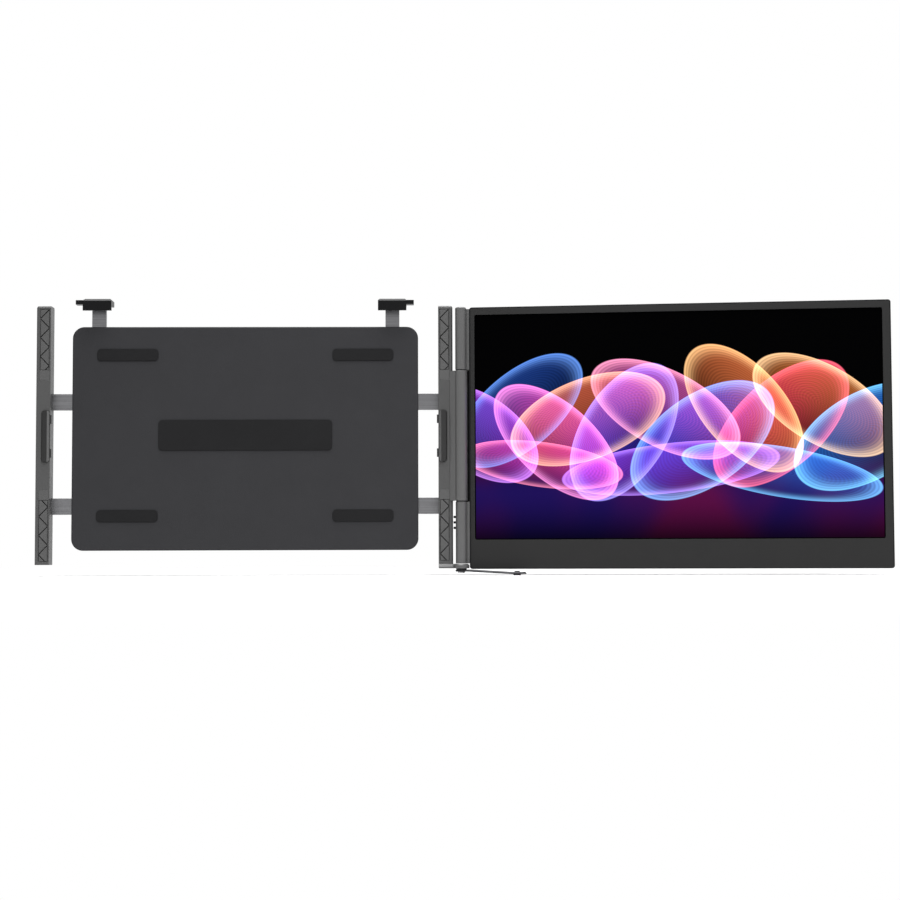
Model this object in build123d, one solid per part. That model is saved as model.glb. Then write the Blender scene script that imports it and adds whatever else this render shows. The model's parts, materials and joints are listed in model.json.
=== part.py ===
from build123d import *
import math
import os

# Millimetres. X runs right, Y away from the viewer, Z up. The origin is the centre of the front
# face of the cradle's rest pad. "Height" values count up from the rails' lower ends.

# Lid pocket and side rails
LID_WIDTH = 332.8
LID_THICK = 5.5
RAIL_PROUD = 0.5
RAIL_WIDTH = 12.3
RAIL_RISE = 1.7
RAIL_FRONT_WALL = 2.6
RAIL_SIDE_WALL = 1.8
RAIL_END_BLOCK = 10.0
RAIL_BACK_THICK = 1.8
RAIL_CORNER = 2.0
RAIL_EDGE = 1.2

# Truss inlays at the rail ends
TRUSS_RIM = 0.7
TRUSS_BORDER = 2.7
TRUSS_LENGTH_SHARE = 0.2776
TRUSS_PLAIN = 8.6
TRUSS_END_INSET = 2.3
TRUSS_THICK = 1.6
TRUSS_EDGE = 0.4
TRUSS_FRAME_GROOVE = 0.4
TRUSS_GROOVE = 0.8
TRUSS_GROOVE_DEEP = 1.0
TRUSS_BAY_SHARE = 0.132
TRUSS_LOWER_LEAD_SHARE = 0.036
TRUSS_FIT = 0.1

# Cradle housing behind the pocket
PAD_THICK = 0.8
FRONT_THICK = 2.0
CAVITY_DEPTH = 4.4
REAR_THICK = 1.6
HOUSING_SIDE_GAP = 17.4
HOUSING_LOW_GAP = 12.0
HOUSING_TOP_GAP = 17.3
HOUSING_CORNER = 10.0
HOUSING_WALL = 2.0
HOUSING_EDGE = 1.5
PANEL_RECESS = 0.5
PANEL_RECESS_WIDTH_SHARE = 0.64
PANEL_RECESS_HEIGHT_SHARE = 0.5
PANEL_RECESS_CORNER = 6.0
REST_PAD_WIDTH_SHARE = 0.5
REST_PAD_HEIGHT = 26.0
PAD_CORNER = 3.0
STRIP_PAD_WIDTH_SHARE = 0.175
STRIP_PAD_HEIGHT = 10.0
STRIP_PAD_OUT_SHARE = 0.68
STRIP_PAD_UP_SHARE = 0.36
BOSS_RADIUS = 3.0
BOSS_INSET = 7.5

# Arm slides
BAR_HEIGHT_SHARES = (0.225, 0.63)
BAR_TALL = 14.0
BAR_THICK = 3.4
BAR_SETBACK = 0.5
BAR_REACH_SHARE = 0.757
BAR_IN_RAIL = 8.5
BAR_CLEAR = 0.2
BAR_SLOT_CLEAR = 0.3
GUIDE_TALL = 4.8
GUIDE_LENGTH_SHARE = 0.57
BRAKE_LENGTH = 30.0
BRAKE_TALL = 10.0
BRAKE_GAP = 0.1

# Side clips
CLIP_MIDDLE_SHARE = 0.4944
CLIP_TALL = 44.2
CLIP_WIDTH = 6.7
CLIP_SETBACK = 0.5
CLIP_LIFT = 0.15
CLIP_THICK = 2.25
CLIP_CORNER = 2.4
CLIP_INNER_BEVEL_WIDE = 1.8
CLIP_INNER_BEVEL_DEEP = 1.2
CLIP_OUTER_SLOPE_DEEP = 0.9
CLIP_OUTER_BEVEL_WIDE = 0.8
CLIP_OUTER_BEVEL_DEEP = 1.6
FINGER_REACH = 1.9
FINGER_TALL = 7.3
FINGER_INSET = 3.9
CLIP_PAD_THICK = 0.6
CLIP_PAD_INSET = 0.2
CLIP_NOTCH_CLEAR = 0.3
CLIP_NECK_SETBACK = 1.6
CLIP_NECK_WIDTH = 2.8
CLIP_NECK_TALL = 20.0
CLIP_HEAD_LAP = 0.6
CLIP_HEAD_TALL_LAP = 3.0
CLIP_HEAD_THICK = 1.5
CLIP_HEAD_GAP = 0.2
CLIP_TRAVEL = 2.2
CLIP_SLOT_CLEAR = 0.2
CLIP_SPRING_THICK = 0.3
CLIP_SPRING_DEEP = 1.8
CLIP_SPRING_INSET = 1.0

# Top clips
HOOK_SIDE_INSET = 10.0
HOOK_WIDTH = 24.5
HOOK_RISE = 0.4
HOOK_TALL = 5.9
HOOK_LIP_DROP = 4.5
HOOK_LIP_THICK = 2.2
HOOK_SLOPE_TALL = 2.0
HOOK_SLOPE_DEEP = 3.6
HOOK_END_CHAMFER = 1.4
HOOK_BACK = 7.4
HOOK_TAB_REACH = 6.4
HOOK_TAB_TALL = 3.6
HOOK_TAB_RISE = 0.9
HOOK_TAB_DEEP = 9.0
HOOK_TAB_SETBACK = 1.0
HOOK_TAB_CORNER = 1.5
HOOK_PAD_THICK = 0.6
HOOK_PAD_INSET = 0.5
SLIDER_WIDTH = 12.0
SLIDER_THICK = 3.8
SLIDER_SETBACK = 0.3
SLIDER_DOWN_TRAVEL = 8.0
SLIDER_FOOT_GAP = 1.5
SLIDER_IN_HOOK = 3.8
SLIDER_FIT = 0.05
SLIDER_GUIDE_WIDTH = 3.0
SLIDER_GUIDE_GAP = 13.0

# Hinge
AXIS_STAND = 1.6
AXIS_GAP = 7.0
BARREL_RADIUS = 4.75
BARREL_GAP = 1.0
BARREL_TOP_INSET = 1.8
BARREL_FOOT_GAP = 0.3
BARREL_END_ROUND = 1.2
BARREL_END_WALL = 2.5
KNUCKLE_FROM_SHARE = 0.243
KNUCKLE_LENGTH_SHARE = 0.5025
KNUCKLE_SWELL = 0.75
KNUCKLE_CREASE_OUT = 1.4
KNUCKLE_LAP = 2.6
KNUCKLE_LAP_EDGE = 0.3
KNUCKLE_FLANGE_THICK = 1.6
KNUCKLE_FLANGE_DEEP = 12.0
KNUCKLE_SCREW_INSET = 14.0
PIN_RADIUS = 2.0
PIN_PRESS = 0.02
PIN_RUN = 0.05
PIN_END_GAP = 0.5
BUSH_RADIUS = 3.2
BUSH_LENGTH_SHARE = 0.2
BUSH_FLANGE_RADIUS = 4.3
BUSH_FLANGE_GAP = 0.1
LEAF_REACH = 26.0
FLANGE_SETBACK = 0.3
LEAF_THICK = 1.4
LEAF_END_INSET = 7.0
LEAF_GAP = 0.1
LEAF_SCREW_REACH = 17.0
LEAF_SCREW_INSET = 9.0

# Monitor
SCREEN_WIDTH = 344.2
SCREEN_HEIGHT = 193.6
SCREEN_CORNER = 1.5
BEZEL_LEFT = 4.5
BEZEL_RIGHT = 7.0
BEZEL_TOP = 6.5
BEZEL_BOTTOM = 25.0
BEZEL_THICK = 1.2
BEZEL_FIT = 0.1
MONITOR_THICK = 9.0
MONITOR_CORNER = 2.3
MONITOR_GAP = 7.1
MONITOR_DROP = 4.5
MONITOR_TURN = 8.0
SHELL_RIM = 0.9
SHELL_WALL = 1.8
SHELL_BACK = 1.6
SHELL_BACK_CHAMFER = 2.0
SHELL_LIP_REACH = 4.0
SHELL_LIP_THICK = 1.4
SHELL_LIP_GAP = 0.5
SHELL_LIP_END = 0.1
DISPLAY_BORDER = 1.0
DISPLAY_THICK = 2.0
BACKLIGHT_THICK = 2.4
SHELL_BOSS_RADIUS = 1.5
SHELL_BOSS_GAP = 0.2
SHELL_SCREW_TOP_INSET = 3.7
SHELL_SCREW_LOW_INSET = 4.0
SHELL_TOP_SHARES = (0.06, 0.36, 0.64, 0.94)
SHELL_LOW_SHARES = (0.03, 0.26, 0.475)

# Inside the monitor's chin
BOARD_LENGTH_SHARE = 0.494
BOARD_TALL = 15.0
BOARD_THICK = 1.0
BOARD_SETBACK = 5.2
BOARD_FOOT_INSET = 6.0
BOARD_SIDE_GAP = 0.4
BOARD_POST_RADIUS = 2.0
BOARD_POST_INSET = 9.0
CHIP_THICK = 1.0
CHIP_PLACE_SHARES = (0.12, 0.27, 0.43, 0.62, 0.78)
CHIP_LENGTH_SHARES = (0.05, 0.08, 0.06, 0.10, 0.04)
CHIP_TALL_SHARE = 0.55
PORT_LONG = 8.94
PORT_SHORT = 3.2
PORT_DEEP = 7.4
PORT_WALL = 0.3
PORT_ROUND = 1.5
PORT_TONGUE_LONG = 6.7
PORT_TONGUE_SHORT = 0.7
PORT_TONGUE_SHARE = 0.7
PORT_BACK = 1.0
PORT_SETBACK = 0.3
PORT_PITCH = 9.8
PORT_FIT = 0.1
SPEAKER_LENGTH_SHARE = 0.1066
SPEAKER_TALL = 13.0
SPEAKER_THICK = 4.0
SPEAKER_FOOT_INSET = 5.0
SPEAKER_BACK_GAP = 0.2
SPEAKER_PLACE_SHARES = (0.101, 0.359)
GRILLE_SLOTS = 9
GRILLE_SLOT_WIDTH = 1.4
GRILLE_SLOT_TALL = 8.0
RIBBON_WIDTH = 24.0
RIBBON_THICK = 0.3
RIBBON_LAP = 2.0
RIBBON_PLACE_SHARE = 0.55

# Buttons in the lower barrel
BUTTON_RADIUS = 1.0
BUTTON_CLEAR = 0.08
BUTTON_PROUD_SHARE = 0.84
BUTTON_INNER = 3.7
BUTTON_FLOOR = 2.95
BUTTON_ROUND = 0.3
BUTTON_LOW_SHARE = 0.569
BUTTON_PITCH_SHARE = 0.086
BUTTON_NAMES = ("back_button", "menu_button", "power_button")

# Foot cap and support leg
CAP_THICK = 3.9
CAP_SLOPE_TALL = 2.4
CAP_FRONT_STAND = 2.6
CAP_BRIDGE_BACK = 3.4
CAP_HUB_GAP = 0.25
CAP_HUB_CHAMFER = 1.2
CAP_SCREW_LENGTH = 9.0
CAP_SCREW_SPREAD = 6.4
CAP_SCREW_SETBACK = 4.6
RIVET_RADIUS = 1.5
RIVET_HEAD_RADIUS = 3.0
RIVET_HEAD_THICK = 1.0
RIVET_RUN = 0.08
RIVET_DEPTH = 2.4
WASHER_RADIUS = 4.6
WASHER_THICK = 1.0
LEG_REACH = 48.5
LEG_TIP = 8.0
LEG_THICK = 1.8
LEG_BEVEL = 0.9
LEG_HUB_WIDTH = 10.4
LEG_TIP_WIDTH = 8.4
LEG_FLAT_FROM_HUB = 8.0
LEG_FLAT_AT_TIP = 13.0
LEG_FALL = 2.0
LEG_SWING = 14.0
FOOT_RADIUS = 3.2
FOOT_THICK = 1.1
FOOT_STEM_RADIUS = 1.6
FOOT_BUTTON_RADIUS = 2.2
FOOT_BUTTON_THICK = 0.8

# Screws
COVER_HEAD_RADIUS = 2.4
COVER_HEAD_THICK = 0.9
COVER_SHANK_RADIUS = 1.2
SHELL_HEAD_RADIUS = 1.4
SHELL_HEAD_THICK = 0.7
SHELL_SHANK_RADIUS = 0.8
SHANK_CLEAR = 0.05
HEAD_CLEAR = 0.15
SCREW_TIP_GAP = 0.4
CROSS_WIDTH_SHARE = 0.28
CROSS_LENGTH_SHARE = 1.3
CROSS_DEPTH_SHARE = 0.6

# Every cut runs this far past the face that it opens
OVERRUN = 1.0

# Places worked out from the sizes above
MONITOR_WIDTH = BEZEL_LEFT + SCREEN_WIDTH + BEZEL_RIGHT
MONITOR_HEIGHT = BEZEL_BOTTOM + SCREEN_HEIGHT + BEZEL_TOP
RAIL_HEIGHT = MONITOR_HEIGHT - MONITOR_DROP + RAIL_RISE
RAIL_INNER = LID_WIDTH / 2
RAIL_OUTER = RAIL_INNER + RAIL_WIDTH
RAIL_MIDDLE = (RAIL_INNER + RAIL_OUTER) / 2
RAIL_BOTTOM = -RAIL_HEIGHT / 2
RAIL_TOP = RAIL_HEIGHT / 2
RAIL_FRONT = -(LID_THICK + RAIL_PROUD)
HOUSING_FRONT = PAD_THICK
CAVITY_FRONT = HOUSING_FRONT + FRONT_THICK
CAVITY_BACK = CAVITY_FRONT + CAVITY_DEPTH
HOUSING_BACK = CAVITY_BACK + REAR_THICK
RAIL_SHELL_BACK = HOUSING_BACK - RAIL_BACK_THICK
TRUSS_LENGTH = RAIL_HEIGHT * TRUSS_LENGTH_SHARE
HOUSING_HALF = RAIL_INNER - HOUSING_SIDE_GAP
HOUSING_LOW = RAIL_BOTTOM + HOUSING_LOW_GAP
HOUSING_TOP = RAIL_TOP - HOUSING_TOP_GAP
HOUSING_HEIGHT = HOUSING_TOP - HOUSING_LOW
HOUSING_MIDDLE = (HOUSING_LOW + HOUSING_TOP) / 2
BAR_FRONT = CAVITY_FRONT + BAR_SETBACK
BAR_CENTRES = [RAIL_BOTTOM + RAIL_HEIGHT * share for share in BAR_HEIGHT_SHARES]
GUIDE_TOP = BAR_CENTRES[-1] + BAR_TALL / 2 + BAR_CLEAR + GUIDE_TALL
CLIP_MIDDLE = RAIL_BOTTOM + RAIL_HEIGHT * CLIP_MIDDLE_SHARE
CLIP_LOW = CLIP_MIDDLE - CLIP_TALL / 2
CLIP_HIGH = CLIP_MIDDLE + CLIP_TALL / 2
CLIP_BACK = RAIL_FRONT - CLIP_LIFT
CLIP_FRONT = CLIP_BACK - CLIP_THICK
CLIP_IN = RAIL_INNER + CLIP_SETBACK
CLIP_OUT = CLIP_IN + CLIP_WIDTH
NECK_IN = CLIP_IN + CLIP_NECK_SETBACK
NECK_OUT = NECK_IN + CLIP_NECK_WIDTH
NECK_SLOT_OUT = NECK_OUT + CLIP_TRAVEL + CLIP_SLOT_CLEAR
HOOK_LOW = RAIL_TOP + HOOK_RISE
HOOK_HIGH = HOOK_LOW + HOOK_TALL
HOOK_OUT = HOUSING_HALF - HOOK_SIDE_INSET
HOOK_FROM = HOOK_OUT - HOOK_WIDTH
SLIDER_MIDDLE = (HOOK_FROM + HOOK_OUT) / 2
SLIDER_IN = SLIDER_MIDDLE - SLIDER_WIDTH / 2
SLIDER_OUT = SLIDER_MIDDLE + SLIDER_WIDTH / 2
SLIDER_FRONT = CAVITY_FRONT + SLIDER_SETBACK
AXIS_X = RAIL_OUTER + AXIS_GAP
AXIS_Y = RAIL_FRONT - AXIS_STAND
KNUCKLE_RADIUS = BARREL_RADIUS + KNUCKLE_SWELL
KNUCKLE_LOW = RAIL_BOTTOM + RAIL_HEIGHT * KNUCKLE_FROM_SHARE
KNUCKLE_HIGH = KNUCKLE_LOW + RAIL_HEIGHT * KNUCKLE_LENGTH_SHARE
LOWER_BARREL = (RAIL_BOTTOM + BARREL_FOOT_GAP, KNUCKLE_LOW - BARREL_GAP)
UPPER_BARREL = (KNUCKLE_HIGH + BARREL_GAP, RAIL_TOP - BARREL_TOP_INSET)
BUSH_LENGTH = (LOWER_BARREL[1] - LOWER_BARREL[0]) * BUSH_LENGTH_SHARE
MONITOR_LEFT = AXIS_X + MONITOR_GAP
MONITOR_RIGHT = MONITOR_LEFT + MONITOR_WIDTH
MONITOR_LOW = RAIL_BOTTOM - MONITOR_DROP
MONITOR_HIGH = MONITOR_LOW + MONITOR_HEIGHT
MONITOR_FRONT = RAIL_FRONT
MONITOR_BACK = MONITOR_FRONT + MONITOR_THICK
SHELL_INSIDE = MONITOR_BACK - SHELL_BACK
SCREEN_LEFT = MONITOR_LEFT + BEZEL_LEFT
SCREEN_RIGHT = SCREEN_LEFT + SCREEN_WIDTH
SCREEN_LOW = MONITOR_LOW + BEZEL_BOTTOM
SCREEN_HIGH = SCREEN_LOW + SCREEN_HEIGHT
DISPLAY_FRONT = MONITOR_FRONT + BEZEL_THICK
BACKLIGHT_FRONT = DISPLAY_FRONT + DISPLAY_THICK
LEAF_BACK = SHELL_INSIDE - LEAF_GAP
LEAF_FRONT = LEAF_BACK - LEAF_THICK
BOARD_FRONT = MONITOR_FRONT + BOARD_SETBACK
BOARD_BACK = BOARD_FRONT + BOARD_THICK
BOARD_RIGHT = MONITOR_RIGHT - SHELL_WALL - BOARD_SIDE_GAP
BOARD_LENGTH = SCREEN_WIDTH * BOARD_LENGTH_SHARE
BOARD_LEFT = BOARD_RIGHT - BOARD_LENGTH
BOARD_LOW = MONITOR_LOW + BOARD_FOOT_INSET
BOARD_MIDDLE = BOARD_LOW + BOARD_TALL / 2
SPEAKER_LENGTH = MONITOR_WIDTH * SPEAKER_LENGTH_SHARE
SPEAKER_LEFTS = [MONITOR_LEFT + MONITOR_WIDTH * share for share in SPEAKER_PLACE_SHARES]
BUTTON_PROUD = (AXIS_GAP - BARREL_RADIUS) * BUTTON_PROUD_SHARE
CAP_LOW = RAIL_BOTTOM - CAP_THICK
CAP_HUB_RADIUS = MONITOR_GAP - CAP_HUB_GAP
LEG_TOP = CAP_LOW - WASHER_THICK


def block(x0, x1, y0, y1, z0, z1):
    """Box between two opposite corners."""
    return Pos((x0 + x1) / 2, (y0 + y1) / 2, (z0 + z1) / 2) * Box(x1 - x0, y1 - y0, z1 - z0)


def plate(x0, x1, y0, y1, z0, z1, corner):
    """Box whose four edges along Y are rounded."""
    return fillet(block(x0, x1, y0, y1, z0, z1).edges().filter_by(Axis.Y), corner)


def rod_x(y, z, x0, x1, radius):
    return Pos((x0 + x1) / 2, y, z) * Rot(0, 90, 0) * Cylinder(radius, x1 - x0)


def rod_y(x, z, y0, y1, radius):
    return Pos(x, (y0 + y1) / 2, z) * Rot(90, 0, 0) * Cylinder(radius, y1 - y0)


def rod_z(x, y, z0, z1, radius):
    return Pos(x, y, (z0 + z1) / 2) * Cylinder(radius, z1 - z0)


def profile_along_x(x0, x1, points):
    """Closed outline of (y, z) points carried from x0 to x1."""
    outline = Plane.YZ * Polygon(*points, align=None)
    return Pos(x0, 0, 0) * extrude(outline, amount=x1 - x0, dir=(1, 0, 0))


def profile_along_z(z0, z1, points):
    """Closed outline of (x, y) points carried from z0 to z1."""
    outline = Polygon(*points, align=None)
    return Pos(0, 0, z0) * extrude(outline, amount=z1 - z0, dir=(0, 0, 1))


def left_of(shape):
    """Mirror image for the other side of the cradle."""
    return mirror(shape, about=Plane.YZ)


def group(solids):
    return Compound(list(solids))


def cross_recess(head_radius, head_thick):
    """Two crossed bars that are cut into a screw's head, which faces +Z at the origin."""
    long = head_radius * CROSS_LENGTH_SHARE
    wide = head_radius * CROSS_WIDTH_SHARE
    deep = 2 * head_thick * CROSS_DEPTH_SHARE
    return Box(long, wide, deep) + Box(wide, long, deep)


def screw(head_radius, head_thick, shank_radius, length):
    """Screw whose head's outer face lies at the origin and faces +Z."""
    head = rod_z(0, 0, -head_thick, 0, head_radius)
    shank = rod_z(0, 0, -length, -head_thick, shank_radius)
    return head + shank - cross_recess(head_radius, head_thick)


def screw_hole(head_radius, head_thick, shank_radius, length):
    """Stepped hole for the same screw, with its clearances."""
    head = rod_z(0, 0, -head_thick, OVERRUN, head_radius + HEAD_CLEAR)
    shank = rod_z(0, 0, -length, -head_thick, shank_radius + SHANK_CLEAR)
    return head + shank


def cover_screw(length):
    return screw(COVER_HEAD_RADIUS, COVER_HEAD_THICK, COVER_SHANK_RADIUS, length)


def cover_hole(length):
    return screw_hole(COVER_HEAD_RADIUS, COVER_HEAD_THICK, COVER_SHANK_RADIUS, length)


def shell_screw(length):
    return screw(SHELL_HEAD_RADIUS, SHELL_HEAD_THICK, SHELL_SHANK_RADIUS, length)


def shell_hole(length):
    return screw_hole(SHELL_HEAD_RADIUS, SHELL_HEAD_THICK, SHELL_SHANK_RADIUS, length)


def from_back(x, y, z):
    """Place of a screw that is driven forwards from a rear face at y."""
    return Pos(x, y, z) * Rot(-90, 0, 0)


def truss_span(upper):
    """Lower and upper end of an inlay, and the end of it that stays plain."""
    if upper:
        high = RAIL_TOP - TRUSS_END_INSET
        return high - TRUSS_LENGTH, high, high - TRUSS_LENGTH
    low = RAIL_BOTTOM + TRUSS_END_INSET
    return low, low + TRUSS_LENGTH, low + TRUSS_LENGTH - TRUSS_PLAIN


def truss_groove(start, end):
    """Cutter for one straight groove of the zigzag between two (x, z) points."""
    run = math.dist(start, end)
    tilt = math.degrees(math.atan2(end[1] - start[1], end[0] - start[0]))
    depth = TRUSS_GROOVE_DEEP + OVERRUN
    middle = Pos((start[0] + end[0]) / 2, RAIL_FRONT + TRUSS_GROOVE_DEEP - depth / 2, (start[1] + end[1]) / 2)
    return middle * Rot(0, -tilt, 0) * Box(run, depth, TRUSS_GROOVE)


def truss_points(upper, zone, sides):
    """Corners of the zigzag from the top of its zone down, alternating between the two sides."""
    step = TRUSS_LENGTH * TRUSS_BAY_SHARE
    start = zone[1] if upper else zone[1] + TRUSS_LENGTH * TRUSS_LOWER_LEAD_SHARE
    count = math.ceil((start - zone[0]) / step) + 1
    return [(sides[index % 2], start - index * step) for index in range(count)]


def truss_inlay(upper, starts_outside):
    """Inlay of the right rail: a plate with a plain end, and a zigzag of grooves inside a frame groove."""
    low, high, plain = truss_span(upper)
    x0 = RAIL_INNER + TRUSS_RIM + TRUSS_FIT
    x1 = RAIL_OUTER - TRUSS_BORDER - TRUSS_FIT
    z0 = low + TRUSS_FIT
    z1 = high - TRUSS_FIT
    if upper:
        zone = (plain + TRUSS_PLAIN, z1 - TRUSS_EDGE)
    else:
        zone = (z0 + TRUSS_EDGE, plain)
    sides = (x0 + TRUSS_EDGE, x1 - TRUSS_EDGE)
    depths = (RAIL_FRONT - OVERRUN, RAIL_FRONT + TRUSS_GROOVE_DEEP)
    field = block(*sides, *depths, *zone)
    inner = block(sides[0] + TRUSS_FRAME_GROOVE, sides[1] - TRUSS_FRAME_GROOVE, *depths,
                  zone[0] + TRUSS_FRAME_GROOVE, zone[1] - TRUSS_FRAME_GROOVE)
    inlay = block(x0, x1, RAIL_FRONT, RAIL_FRONT + TRUSS_THICK, z0, z1) - (field - inner)
    corners = truss_points(upper, zone, sides[::-1] if starts_outside else sides)
    for start, end in zip(corners, corners[1:]):
        inlay -= truss_groove(start, end) & field
    return inlay


def rail_screw_places():
    """Heights of the screws in a rail's back, and how long each is."""
    end_length = RAIL_BACK_THICK + RAIL_END_BLOCK / 2
    bar_length = HOUSING_BACK - BAR_FRONT - SCREW_TIP_GAP
    ends = [(RAIL_BOTTOM + RAIL_END_BLOCK / 2, end_length), (RAIL_TOP - RAIL_END_BLOCK / 2, end_length)]
    return ends + [(height, bar_length) for height in BAR_CENTRES]


def rail_screws():
    back = HOUSING_BACK
    return [from_back(RAIL_MIDDLE, back, z) * cover_screw(length) for z, length in rail_screw_places()]


def rail_screw_holes():
    back = HOUSING_BACK
    return [from_back(RAIL_MIDDLE, back, z) * cover_hole(length) for z, length in rail_screw_places()]


def rail_shell():
    """Right rail: a channel open at the back, with inlay recesses, bar slots and room for the clip."""
    rail = block(RAIL_INNER, RAIL_OUTER, RAIL_FRONT, RAIL_SHELL_BACK, RAIL_BOTTOM, RAIL_TOP)
    top_corner = rail.edges().filter_by(Axis.Y).group_by(Axis.Z)[-1].sort_by(Axis.X)[-1]
    rail = fillet(top_corner, RAIL_CORNER)
    front_edge = rail.edges().filter_by(Axis.Z).group_by(Axis.Y)[0].sort_by(Axis.X)[-1]
    rail = chamfer(front_edge, RAIL_EDGE)
    rail -= block(RAIL_INNER + RAIL_SIDE_WALL, RAIL_OUTER - RAIL_SIDE_WALL,
                  RAIL_FRONT + RAIL_FRONT_WALL, RAIL_SHELL_BACK + OVERRUN,
                  RAIL_BOTTOM + RAIL_END_BLOCK, RAIL_TOP - RAIL_END_BLOCK)
    for upper in (True, False):
        low, high, plain = truss_span(upper)
        rail -= block(RAIL_INNER + TRUSS_RIM, RAIL_OUTER - TRUSS_BORDER,
                      RAIL_FRONT - OVERRUN, RAIL_FRONT + TRUSS_THICK, low, high)
    for height in BAR_CENTRES:
        half = BAR_TALL / 2 + BAR_CLEAR
        rail -= block(RAIL_INNER - OVERRUN, RAIL_INNER + RAIL_SIDE_WALL + OVERRUN,
                      BAR_FRONT - BAR_CLEAR, BAR_FRONT + BAR_THICK + BAR_CLEAR, height - half, height + half)
    half = CLIP_NECK_TALL / 2 + CLIP_SLOT_CLEAR
    rail -= block(NECK_IN - CLIP_SLOT_CLEAR, NECK_SLOT_OUT, RAIL_FRONT - OVERRUN,
                  RAIL_FRONT + RAIL_FRONT_WALL + OVERRUN, CLIP_MIDDLE - half, CLIP_MIDDLE + half)
    for low, high in clip_finger_spans():
        rail -= block(RAIL_INNER - OVERRUN, RAIL_INNER + CLIP_TRAVEL + CLIP_NOTCH_CLEAR,
                      RAIL_FRONT - OVERRUN, CLIP_BACK + CLIP_PAD_THICK + CLIP_NOTCH_CLEAR,
                      low - CLIP_NOTCH_CLEAR, high + CLIP_NOTCH_CLEAR)
    return rail - rail_screw_holes()


def rail_back():
    cover = block(RAIL_INNER, RAIL_OUTER, RAIL_SHELL_BACK, HOUSING_BACK, RAIL_BOTTOM, RAIL_TOP)
    top_corner = cover.edges().filter_by(Axis.Y).group_by(Axis.Z)[-1].sort_by(Axis.X)[-1]
    cover = fillet(top_corner, RAIL_CORNER)
    back_edge = cover.edges().filter_by(Axis.Z).group_by(Axis.Y)[-1].sort_by(Axis.X)[-1]
    return chamfer(back_edge, RAIL_EDGE) - rail_screw_holes()


def slide_bars():
    """Two flat bars that carry the right rail, from inside the rail into the housing."""
    bars = []
    for height in BAR_CENTRES:
        bar = block(RAIL_INNER * (1 - BAR_REACH_SHARE), RAIL_INNER + BAR_IN_RAIL, BAR_FRONT,
                    BAR_FRONT + BAR_THICK, height - BAR_TALL / 2, height + BAR_TALL / 2)
        bars.append(bar - rail_screw_holes())
    return bars


def clip_finger_spans():
    return ((CLIP_LOW + FINGER_INSET, CLIP_LOW + FINGER_INSET + FINGER_TALL),
            (CLIP_HIGH - FINGER_INSET - FINGER_TALL, CLIP_HIGH - FINGER_INSET))


def side_clip():
    """Right side clip: a bevelled bar with two lip fingers, and a neck and head held in the rail."""
    slope_out = CLIP_OUT - CLIP_OUTER_BEVEL_WIDE
    points = ((CLIP_IN, CLIP_BACK), (CLIP_IN, CLIP_FRONT + CLIP_INNER_BEVEL_DEEP),
              (CLIP_IN + CLIP_INNER_BEVEL_WIDE, CLIP_FRONT), (slope_out, CLIP_FRONT + CLIP_OUTER_SLOPE_DEEP),
              (CLIP_OUT, CLIP_FRONT + CLIP_OUTER_BEVEL_DEEP), (CLIP_OUT, CLIP_BACK))
    bar = profile_along_z(CLIP_LOW, CLIP_HIGH, points)
    clip = bar & plate(CLIP_IN, CLIP_OUT, CLIP_FRONT, CLIP_BACK, CLIP_LOW, CLIP_HIGH, CLIP_CORNER)
    finger_front = CLIP_FRONT + CLIP_INNER_BEVEL_DEEP
    for low, high in clip_finger_spans():
        clip += block(CLIP_IN - FINGER_REACH, CLIP_IN + CLIP_INNER_BEVEL_WIDE,
                      finger_front, CLIP_BACK, low, high)
    neck_back = RAIL_FRONT + RAIL_FRONT_WALL + CLIP_HEAD_GAP
    half = CLIP_NECK_TALL / 2
    clip += block(NECK_IN, NECK_OUT, CLIP_BACK, neck_back, CLIP_MIDDLE - half, CLIP_MIDDLE + half)
    half += CLIP_HEAD_TALL_LAP
    return clip + block(NECK_IN, NECK_OUT + CLIP_HEAD_LAP, neck_back, neck_back + CLIP_HEAD_THICK,
                        CLIP_MIDDLE - half, CLIP_MIDDLE + half)


def clip_pads():
    pads = []
    for low, high in clip_finger_spans():
        pads.append(block(CLIP_IN - FINGER_REACH + CLIP_PAD_INSET, RAIL_INNER - CLIP_PAD_INSET,
                          CLIP_BACK, CLIP_BACK + CLIP_PAD_THICK, low + CLIP_PAD_INSET, high - CLIP_PAD_INSET))
    return pads


def clip_spring():
    """Bowed leaf between the clip's neck and the outer end of its slot."""
    half = CLIP_NECK_TALL / 2 - CLIP_SPRING_INSET
    outer = NECK_SLOT_OUT
    inner = NECK_OUT
    front = RAIL_FRONT + CLIP_SPRING_THICK
    ends = ((outer, CLIP_MIDDLE - half), (outer, CLIP_MIDDLE + half))
    outer_arc = ThreePointArc(ends[0], (inner + CLIP_SPRING_THICK, CLIP_MIDDLE), ends[1])
    shifted = [(x - CLIP_SPRING_THICK, z) for x, z in ends]
    inner_arc = ThreePointArc(shifted[1], (inner, CLIP_MIDDLE), shifted[0])
    sides = [Line(ends[1], shifted[1]), Line(shifted[0], ends[0])]
    outline = Plane.XZ * make_face([outer_arc, sides[0], inner_arc, sides[1]])
    return Pos(0, front + CLIP_SPRING_DEEP, 0) * extrude(outline, amount=CLIP_SPRING_DEEP)


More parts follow.
